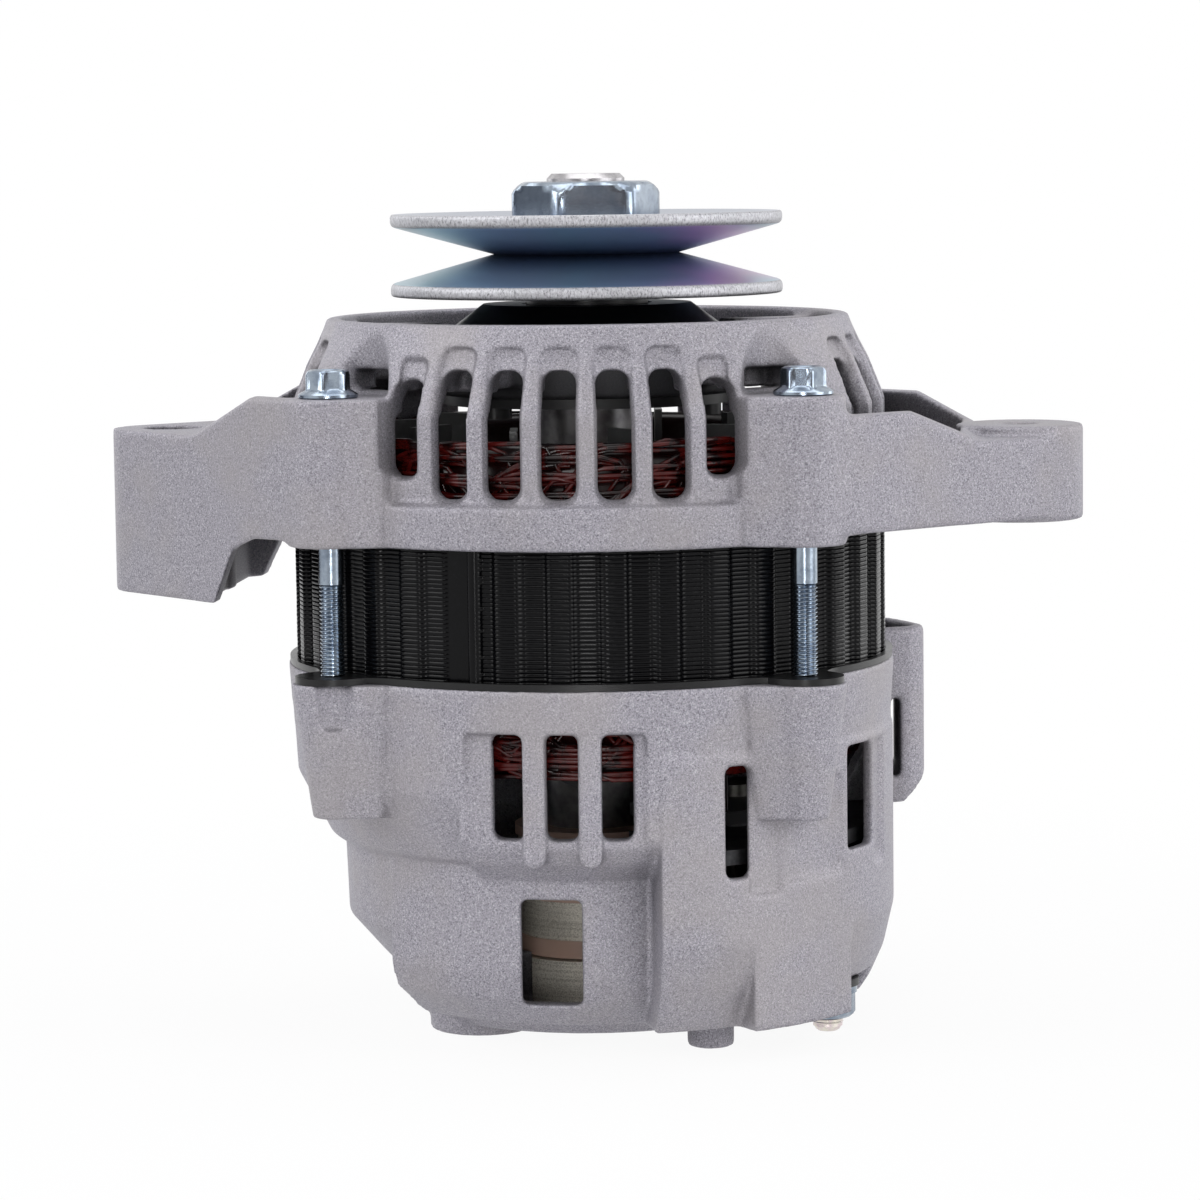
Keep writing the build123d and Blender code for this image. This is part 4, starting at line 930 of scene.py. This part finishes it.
@dataclass
class EndTurns(SubAssembly):
    """Single wires at both ends of the core: level wraps, and bundles that climb over them."""

    wire_radius: float = 0.5
    wire_sides: int = 7
    outer_radius: float = 56.4
    mass_outer: float = 53.4
    mass_inner: float = 48.9
    mass_shoulder: float = 0.8
    mass_top: float = 0.92
    mass_steps: int = 144
    wire_levels: tuple = (0.02, 0.95)
    wraps: int = 150
    wrap_steps: int = 16
    wrap_span: tuple = (42, 75)
    wrap_reach: tuple = (0.1, 0.93)
    wrap_scatter: float = 0.8
    wrap_tilt: float = 0.07
    wrap_end: float = 0.16
    wrap_tuck: float = 3.6
    crossings: int = 12
    strands: int = 9
    crossing_steps: int = 14
    crossing_span: tuple = (24, 32)
    crossing_spread: float = 0.25
    crossing_reach: tuple = (0.45, 0.95)
    crossing_lean: float = 2.4
    crossing_play: tuple = (0.02, 0.1)
    seeds: tuple = (11, 23)

    def wrap(self, base: float, height: float, rng: random.Random) -> list[Vector]:
        """Middle line of one wire that runs nearly level round the winding.

        Args:
            base: Height of the core's end face.
            height: How far the winding reaches beyond the face, negative downwards.
            rng: Source of its small unevenness.

        Returns:
            Points along the wire, in millimetres.
        """
        start = rng.uniform(0, 2 * math.pi)
        span = math.radians(rng.uniform(*self.wrap_span))
        reach = rng.uniform(*self.wrap_reach)
        depth = abs(rng.gauss(0, self.wrap_scatter))
        tilt = rng.uniform(-self.wrap_tilt, self.wrap_tilt)
        lowest, highest = self.wire_levels
        path = []
        for k in range(self.wrap_steps + 1):
            t = k / self.wrap_steps
            ends = min(t, 1 - t) / self.wrap_end
            rise = math.sin(min(ends, 1.0) * math.pi / 2)
            radius = self.outer_radius - depth - self.wrap_tuck * max(0.0, 1 - ends) ** 2
            level = min(max(reach + tilt * (2 * t - 1), lowest), highest)
            path.append(around(radius, start + span * t, base + height * level * rise))
        return path

    def crossing(
        self, place: int, strand: int, base: float, height: float, rng: random.Random
    ) -> list[Vector]:
        """Middle line of one wire of a bundle that climbs out of a slot and bends over.

        Args:
            place: Number of the bundle.
            strand: Number of the wire in it.
            base: Height of the core's end face.
            height: How far the winding reaches beyond the face, negative downwards.
            rng: Source of its small unevenness.

        Returns:
            Points along the wire, in millimetres.
        """
        share = (strand + 0.5) / self.strands
        start = 2 * math.pi * (place + self.crossing_spread * share) / self.crossings
        (least, most), (first, last) = self.crossing_span, self.crossing_reach
        span = math.radians(least + (most - least) * share)
        play_up, play_out = self.crossing_play
        top = first + (last - first) * share + rng.uniform(-play_up, play_up)
        path = []
        for k in range(self.crossing_steps + 1):
            t = k / self.crossing_steps
            radius = self.outer_radius + play_out * (1 - rng.random()) - self.crossing_lean * t * t
            level = base + height * top * math.sin(t * math.pi / 2)
            path.append(around(radius, start + span * t ** 1.5, level))
        return path

    def basket(self, name: str, base: float, height: float, seed: int) -> bpy.types.Object:
        """One end's wires with the mass of wire behind them, dark from the painted shade of the wire's
        finish.

        Args:
            name: Name of the piece.
            base: Height of the core's end face.
            height: How far the wires reach beyond it, negative downwards.
            seed: Seed of the unevenness.

        Returns:
            The piece.
        """
        rng = random.Random(seed)
        mesh = Mesh()
        inner, outer = self.mass_inner, self.mass_outer
        shoulder, top = base + height * self.mass_shoulder, base + height * self.mass_top
        outline = [(inner, base), (outer, base), (outer, shoulder)]
        outline += [(outer - 2, top), (inner + 1, top), (inner, shoulder)]
        mesh.turned(outline, self.mass_steps)
        for _ in range(self.wraps):
            mesh.tube(self.wrap(base, height, rng), self.wire_radius, self.wire_sides)
        for place in range(self.crossings):
            for strand in range(self.strands):
                wire = self.crossing(place, strand, base, height, rng)
                mesh.tube(wire, self.wire_radius, self.wire_sides)
        return mesh.piece(name, self.finishes["enamelled_wire"], Body.HOUSING, "enamelled_wire", 70.0)

    def build(self) -> list[bpy.types.Object]:
        """Builds both ends in place of the hidden winding, and returns them."""
        core_low, core_high = heights("stator_core")
        low, high = heights("stator_winding")
        front = self.basket("front_end_turns", core_high, high - core_high, self.seeds[0])
        rear = self.basket("rear_end_turns", core_low, low - core_low, self.seeds[1])
        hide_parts("stator_winding")
        return [front, rear]


@dataclass
class ThroughBolts(SubAssembly):
    """Four flanged bolts: plain shank below the head, rolled thread below that."""

    circle: float = 66.0
    shank: float = 2.5
    plain_length: float = 37.0
    neck: float = 0.3
    thread_depth: float = 0.42
    pitch: float = 0.8
    across_flats: float = 8.0
    flange: float = 5.9
    flange_height: float = 1.1
    head_height: float = 5.6
    head_turn: float = 0.2
    steps: int = 32

    def head(self, mesh: Mesh, centre: Vector, turn: float) -> None:
        """Adds a hexagon head with a dished top on its flange.

        Args:
            mesh: Where it goes.
            centre: The middle of the seat under the flange.
            turn: Angle of the first corner.
        """
        corner = self.across_flats / 2 / math.cos(HEX_HALF)
        top, rim, step = self.head_height, self.flange, self.flange_height
        profile = [
            (0.0, 0.0, 0.05),
            (0.0, 0.0, rim - 0.3),
            (0.0, 0.25, rim),
            (0.0, step * 0.7, rim),
            (0.0, step, rim - 0.4),
            (0.5, step + 0.5, corner + 0.1),
            (1.0, step + 0.9, corner - 0.1),
            (1.0, top - 1.0, corner - 0.1),
            (1.0, top - 0.35, corner - 0.45),
            (1.0, top - 0.05, corner - 0.95),
            (0.0, top, 3.4),
            (0.0, top - 0.1, 2.9),
            (0.0, top - 0.7, 2.3),
            (0.0, top - 0.75, 0.05),
        ]
        mesh.hexagonal(centre, self.across_flats, turn, profile)

    def build(self) -> list[bpy.types.Object]:
        """Builds the four bolts as one piece and returns it."""
        low, high = heights("through_bolts")
        seat = high - self.head_height
        thread_top = seat - self.plain_length
        axis, shank = 0.01, self.shank
        rod = [(axis, seat), (shank, seat), (shank, thread_top + self.neck)]
        rod += [(shank - self.neck, thread_top), (axis, thread_top)]
        mesh = Mesh()
        for angle in (math.radians(45 + 90 * k) for k in range(4)):
            centre = around(self.circle, angle, 0)
            self.head(mesh, around(self.circle, angle, seat), angle / 3 + self.head_turn)
            mesh.turned(rod, self.steps, centre)
            mesh.thread(centre, shank, self.thread_depth, self.pitch, low, thread_top)
        finish = self.finishes["zinc_fastener"]
        bolts = mesh.piece("through_bolt_set", finish, Body.HOUSING, "zinc_fastener", 35.0)
        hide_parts("through_bolts")
        return [bolts]


@dataclass
class PulleyDiscs(SubAssembly):
    """The two pressed halves of the pulley, with their sheared rims rounded."""

    sheet: float = 2.7
    root: float = 19.0
    bore: float = 8.52
    rounding: float = 1.1
    rounding_steps: int = 6
    steps: int = 192

    def eased(self, before: Vector, corner: Vector, after: Vector) -> list[Vector]:
        """A rounded corner of the outline.

        Args:
            before: The outline's point before the corner.
            corner: The corner.
            after: The point after it.

        Returns:
            Points round the corner.
        """
        start, end = (corner + (p - corner).normalized() * self.rounding for p in (before, after))
        shares = [k / self.rounding_steps for k in range(self.rounding_steps + 1)]
        return [start * (1 - t) ** 2 + corner * 2 * t * (1 - t) + end * t * t for t in shares]

    def disc(self, node: str, name: str, side: int) -> bpy.types.Object:
        """One half.

        Args:
            node: The node that it stands for.
            name: The piece's name.
            side: 1 above the belt, -1 below it.

        Returns:
            The piece.
        """
        low, high = corners(node)
        rim, reach = high.x, max(high.z, -low.z)
        root, inner = Vector((self.root, 0)), Vector((rim, reach - self.sheet))
        outer, back = Vector((rim, reach)), Vector((self.root, self.sheet))
        outline = [Vector((self.bore, 0)), root]
        outline += self.eased(root, inner, outer) + self.eased(inner, outer, back)
        outline += [back, Vector((self.bore, self.sheet))]
        mesh = Mesh()
        mesh.turned([(p.x, p.y * side) for p in outline], self.steps)
        disc = mesh.piece(name, self.finishes["zinc_sheet"], Body.ROTOR, "zinc_sheet", 30.0)
        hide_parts(node)
        return disc

    def build(self) -> list[bpy.types.Object]:
        """Builds both halves and returns them."""
        front = self.disc("pulley_front_half", "pulley_disc_front", 1)
        rear = self.disc("pulley_rear_half", "pulley_disc_rear", -1)
        return [front, rear]


@dataclass
class PulleyNut(SubAssembly):
    """Large hexagon nut on the shaft end, chamfered on both faces."""

    across_flats: float = 27.0
    bore: float = 8.0
    turn: float = math.radians(13.2)

    def build(self) -> list[bpy.types.Object]:
        """Builds the nut and returns it."""
        low, high = heights("pulley_nut")
        tall = high - low
        flat = self.across_flats / 2
        corner = flat / math.cos(HEX_HALF)
        profile = [
            (0.0, 0.7, self.bore),
            (0.0, 0.0, self.bore + 0.7),
            (0.0, 0.0, flat - 0.9),
            (1.0, 0.35, flat + 0.2),
            (1.0, 0.9, corner - 0.7),
            (1.0, 1.5, corner - 0.3),
            (1.0, tall - 2.4, corner - 0.3),
            (1.0, tall - 1.7, corner - 0.7),
            (1.0, tall - 0.8, flat + 0.5),
            (1.0, tall - 0.25, flat - 0.3),
            (0.0, tall, flat - 1.0),
            (0.0, tall, self.bore + 0.8),
            (0.0, tall - 0.8, self.bore),
        ]
        mesh = Mesh()
        mesh.hexagonal(Vector((0, 0, low)), self.across_flats, self.turn, profile)
        finish = self.finishes["zinc_fastener"]
        nut = mesh.piece("pulley_hexagon_nut", finish, Body.ROTOR, "zinc_fastener", 28.0)
        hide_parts("pulley_nut")
        return [nut]


@dataclass
class HubCover(SubAssembly):
    """Black pressed cover over the front bearing; the collar under the pulley passes through it."""

    low_radius: float = 27.5
    high_radius: float = 21.4
    bore: float = 13.5
    sheet: float = 0.8
    seat: float = -15.35
    height: float = 5.2
    steps: int = 144

    def build(self) -> list[bpy.types.Object]:
        """Builds the cover and returns it."""
        wide, narrow = self.low_radius, self.high_radius
        top = self.seat + self.height
        outline = [
            (wide, self.seat),
            (wide, self.seat + 0.7),
            (wide - 0.6, self.seat + 1.1),
            (narrow + 0.7, top - 0.5),
            (narrow, top),
            (self.bore, top),
            (self.bore, top - self.sheet),
            (narrow - 0.4, top - self.sheet),
            (wide - 1.4, self.seat + 0.5),
            (wide - 1.4, self.seat),
        ]
        mesh = Mesh()
        mesh.turned(outline, self.steps)
        finish = self.finishes["black_plate"]
        return [mesh.piece("front_hub_cover", finish, Body.HOUSING, "black_laminations", 30.0)]


@dataclass
class OutputTerminal(SubAssembly):
    """Nut and ridged, tapered end of the output stud, under the rear bracket."""

    across_flats: float = 10.0
    turn: float = math.radians(10)
    stud: float = 3.0
    ridges: int = 3
    ridge_low: float = 0.9
    ridge_step: float = 0.7
    ridge_radius: float = 2.75
    ridge_widening: float = 0.2
    axis: float = 0.05
    steps: int = 48

    def nut(self) -> bpy.types.Object:
        """Builds the nut and returns it."""
        low, high = corners("stud_nut")
        middle = (low + high) / 2
        tall = high.z - low.z
        corner = self.across_flats / 2 / math.cos(HEX_HALF)
        profile = [
            (0.0, 0.5, self.stud),
            (0.0, 0.0, self.stud + 0.5),
            (1.0, 0.0, self.across_flats / 2 - 0.3),
            (1.0, 0.4, corner - 0.5),
            (1.0, 0.8, corner - 0.1),
            (1.0, tall - 0.6, corner - 0.1),
            (0.0, tall, corner - 0.3),
            (0.0, tall, self.stud),
        ]
        mesh = Mesh()
        mesh.hexagonal(Vector((middle.x, middle.y, low.z)), self.across_flats, self.turn, profile)
        finish = self.finishes["zinc_fastener"]
        made = mesh.piece("output_nut", finish, Body.HOUSING, "zinc_fastener", 28.0)
        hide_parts("stud_nut")
        return made

    def tip(self) -> bpy.types.Object:
        """Builds the tapered end with its ridges and returns it."""
        nut_low, nut_high = corners("stud_nut")
        middle = (nut_low + nut_high) / 2
        centre = Vector((middle.x, middle.y, 0))
        low, high = heights("stud_cap")
        taper = [(self.axis, low), (2.0, low), (2.5, low + 0.4), (2.9, low + 1.2)]
        taper += [(self.stud + 0.2, high), (self.axis, high)]
        mesh = Mesh()
        mesh.turned(taper, self.steps, centre)
        for k in range(self.ridges):
            foot = low + self.ridge_low + self.ridge_step * k
            ridge = self.ridge_radius + self.ridge_widening * k
            outline = [(ridge, foot), (ridge + 0.22, foot + 0.25), (ridge, foot + 0.5)]
            mesh.turned(outline, self.steps, centre)
        cap = mesh.piece("output_stud_tip", self.finishes["stud_tin"], Body.HOUSING, "stud_tin", 50.0)
        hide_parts("stud_cap")
        return cap

    def build(self) -> list[bpy.types.Object]:
        """Builds the nut and the end and returns them."""
        return [self.nut(), self.tip()]


@dataclass
class RimPlate(SubAssembly):
    """Thin black plate round the core's lower end, with an ear at each bolt."""

    lift: float = 2.02
    thickness: float = 1.3
    inner: float = 60.9
    outer: float = 62.3
    ear_circle: float = 66.0
    ear_radius: float = 7.6
    fillet: float = 7.0
    fillet_rise: float = 2.2
    steps: int = 720

    def reach(self, angle: float) -> float:
        """Outer radius at an angle, in radians: the rim or the ear of the nearest bolt."""
        away = angle % (math.pi / 2) - math.pi / 4
        side = self.ear_circle * math.sin(away)
        beyond = abs(side) - self.ear_radius
        if beyond >= 0:
            return self.outer + self.fillet_rise * max(0.0, 1.0 - beyond / self.fillet) ** 2
        ear = self.ear_circle * math.cos(away) + math.sqrt(self.ear_radius ** 2 - side ** 2)
        return max(ear, self.outer + self.fillet_rise)

    def build(self) -> list[bpy.types.Object]:
        """Builds the plate and returns it."""
        low = heights("stator_core")[0] + self.lift
        high = low + self.thickness
        turns = full_turn(self.steps)
        inner = [(self.inner, t) for t in turns]
        outer = [(self.reach(t), t) for t in turns]
        loops = ((inner, low), (outer, low), (outer, high), (inner, high), (inner, low))
        mesh = Mesh()
        mesh.grid([[around(r, t, level) for r, t in loop] for loop, level in loops])
        finish = self.finishes["black_plate"]
        return [mesh.piece("core_rim_plate", finish, Body.HOUSING, "black_laminations", 35.0)]


@dataclass
class BrushSprings(SubAssembly):
    """Coil spring behind each brush."""

    wire: float = 0.28
    turns: int = 9
    turn_steps: int = 20
    solid_length: float = 1.6

    def spring(self, place: str) -> bpy.types.Object:
        """Winds the spring of one brush.

        Args:
            place: inner or outer, as in the names of the brushes.

        Returns:
            The piece.
        """
        node = f"brush_spring_{place}"
        low, high = corners(node)
        middle = (low + high) / 2
        radius = (high.z - low.z) / 2 - self.wire
        count = self.turns * self.turn_steps
        path = []
        for k in range(count + 1):
            angle = 2 * math.pi * self.turns * k / count
            along = low.x + self.wire + (high.x - low.x - 2 * self.wire) * k / count
            offset = Vector((0, radius * math.cos(angle), radius * math.sin(angle)))
            path.append(Vector((along, middle.y, middle.z)) + offset)
        mesh = Mesh()
        mesh.tube(path, self.wire)
        finish = self.finishes["bearing_steel"]
        spring = mesh.piece(f"brush_coil_{place}", finish, Body.HOUSING, "spring_steel", 70.0)
        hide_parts(node)
        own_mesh(spring)
        return spring

    def build(self) -> list[bpy.types.Object]:
        """Builds both springs and returns them."""
        return [self.spring("inner"), self.spring("outer")]


@dataclass
class Studio:
    """Pale floor, white backdrop, soft lamps and the camera of the photograph."""

    focal_pixels: float = 4270.0
    frame_pixels: float = 1200.0
    sensor: float = 36.0
    distance: float = 0.880
    height: float = 0.0204
    sideways: float = 0.0019
    pitch: float = math.radians(5.976)
    roll: float = 0.0125
    turn: float = math.radians(5.6)
    white: tuple = (1.0, 1.0, 1.0)
    sky: tuple = (0.95, 0.95, 1.0)
    ambient: float = 0.3
    floor_colour: tuple = (0.88, 0.88, 0.89)
    floor_size: tuple = (8.0, 8.0)
    floor_gap: float = 0.00005
    floor_glow: float = 0.93
    shadow_reach: float = 0.16
    shadow_fade: float = 2.2
    cards: tuple = (
        ("camera_card", (0.1, -1.8, 0.0), (2.4, 1.5), (0.13, 0.10, 0.097)),
        ("left_card", (-1.15, 0.55, 0.0), (0.9, 1.0), (0.03, 0.045, 0.08)),
    )
    lamps: tuple = (
        ("key", (-1.2, -0.55, 0.6), -0.07, (0.9, 0.9), 8.5),
        ("front", (-0.12, -1.25, 0.62), -0.09, (0.6, 0.35), 2.5),
        ("low_front", (0.1, -1.35, -0.12), -0.12, (0.22, 0.4), 4.5),
        ("fill", (1.2, -0.5, 0.25), -0.08, (0.7, 1.0), 7.0),
        ("top", (0.0, 0.1, 1.1), -0.05, (1.2, 0.9), 6.5),
        ("left_rim", (-1.0, 0.7, 0.2), -0.08, (0.5, 1.1), 4.0),
        ("right_rim", (1.0, 0.7, 0.2), -0.08, (0.5, 1.1), 4.0),
    )

    def camera(self) -> None:
        """Places the camera."""
        data = bpy.data.cameras.new("camera")
        data.sensor_width = self.sensor
        data.lens = self.focal_pixels / self.frame_pixels * self.sensor
        data.clip_start, data.clip_end = 0.05, 20.0
        forward = Vector((0, math.cos(self.pitch), -math.sin(self.pitch)))
        level = Vector((1, 0, 0))
        upright = level.cross(forward)
        right = level * math.cos(self.roll) - upright * math.sin(self.roll)
        above = level * math.sin(self.roll) + upright * math.cos(self.roll)
        swing = Matrix.Rotation(self.turn, 3, "Z")
        columns = [swing @ right, swing @ above, swing @ -forward]
        place = Matrix([[c[row] for c in columns] for row in range(3)]).to_4x4()
        place.translation = swing @ Vector((self.sideways, -self.distance, self.height))
        eye = placed("camera", data)
        eye.matrix_world = place
        bpy.context.scene.camera = eye

    def stand(self, made: bpy.types.Object, place: tuple, aim_height: float, axis: str) -> None:
        """Stands an object at a place and turns it to the shaft axis.

        Args:
            made: The object.
            place: Where it stands, in metres.
            aim_height: Height of the point on the shaft axis that it faces, in metres.
            axis: The side of the object that faces that point.
        """
        made.location = place
        made.rotation_mode = "QUATERNION"
        away = Vector((0, 0, aim_height)) - Vector(place)
        made.rotation_quaternion = away.to_track_quat(axis, "Y")

    def lamp(self, name: str, place: tuple, aim_height: float, size: tuple, power: float) -> None:
        """Adds a soft rectangular lamp.

        Args:
            name: The lamp's name.
            place: Where it stands, in metres.
            aim_height: Height of the point on the shaft axis that it faces, in metres.
            size: Its width and height.
            power: Its power in watts.
        """
        data = bpy.data.lights.new(name, "AREA")
        data.shape = "RECTANGLE"
        data.size, data.size_y = size
        data.energy = power
        self.stand(placed(name, data), place, aim_height, "-Z")

    def world(self) -> None:
        """White to the camera and in reflections, softer as a light."""
        world = bpy.data.worlds.new("studio")
        bpy.context.scene.world = world
        s = Shader(world.name, world)
        soft = s.node("ShaderNodeBackground", None, {"Color": self.sky, "Strength": self.ambient})
        white = s.node("ShaderNodeBackground", None, {"Color": self.white})
        s.close(s.node("ShaderNodeMixShader", None, {0: s.seen(), 1: soft, 2: white}))

    def board(self, name: str, size: tuple, finish: bpy.types.Material) -> bpy.types.Object:
        """Adds a flat rectangle that isn't part of the alternator.

        Args:
            name: Its name.
            size: Its width and height, in metres.
            finish: Its material.

        Returns:
            The rectangle.
        """
        wide, tall = size[0] / 2, size[1] / 2
        data = bpy.data.meshes.new(name)
        edge = [(-wide, -tall, 0), (wide, -tall, 0), (wide, tall, 0), (-wide, tall, 0)]
        data.from_pydata(edge, [], [(0, 1, 2, 3)])
        data.materials.append(finish)
        board = placed(name, data)
        return board

    def card(self, name: str, place: tuple, size: tuple, colour: tuple) -> None:
        """Adds a dark card beside the set that only bright metal mirrors.

        Args:
            name: The card's name.
            place: Where its middle stands, in metres.
            size: Its width and height.
            colour: Its colour in reflections.
        """
        s = Shader(name)
        card = self.board(name, size, s.close(s.node("ShaderNodeEmission", None, {"Color": colour})))
        self.stand(card, place, 0.0, "Z")
        card.visible_camera = False
        card.visible_diffuse = False
        card.visible_shadow = False

    def floor(self) -> None:
        """Adds the pale floor; it is plain white away from the alternator's shadow."""
        s = Shader("floor")
        far = s.radius().within(self.shadow_reach, self.shadow_fade * self.shadow_reach)
        share = far * (1.0 - self.floor_glow) + self.floor_glow
        glow = s.node("ShaderNodeEmission", None, {"Color": self.white})
        cover = s.node("ShaderNodeBsdfDiffuse", None, {"Color": self.floor_colour})
        mix = s.node("ShaderNodeMixShader", None, {0: s.seen() * share, 1: cover, 2: glow})
        floor = self.board("floor", self.floor_size, s.close(mix))
        feet = ("rear_bracket", "stud_cap")
        floor.location.z = min(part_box(node)[0].z for node in feet) - self.floor_gap

    def build(self) -> None:
        """Sets up the whole studio."""
        bpy.context.scene.view_settings.view_transform = "Standard"
        self.camera()
        self.world()
        self.floor()
        for row in self.cards:
            self.card(*row)
        for row in self.lamps:
            self.lamp(*row)


def main() -> None:
    """Builds the sub-assemblies in order round the frame and reports each piece."""
    Studio().build()
    finishes = Finishes()
    kinds = (CarriedNodes, LaminatedCore, EndTurns, ThroughBolts, PulleyDiscs, PulleyNut)
    kinds += (HubCover, OutputTerminal, RimPlate, BrushSprings)
    for kind in kinds:
        for piece in kind(finishes).build():
            log.info("%s: %s", kind.__name__, piece.name)


if __name__ == "__main__":
    main()
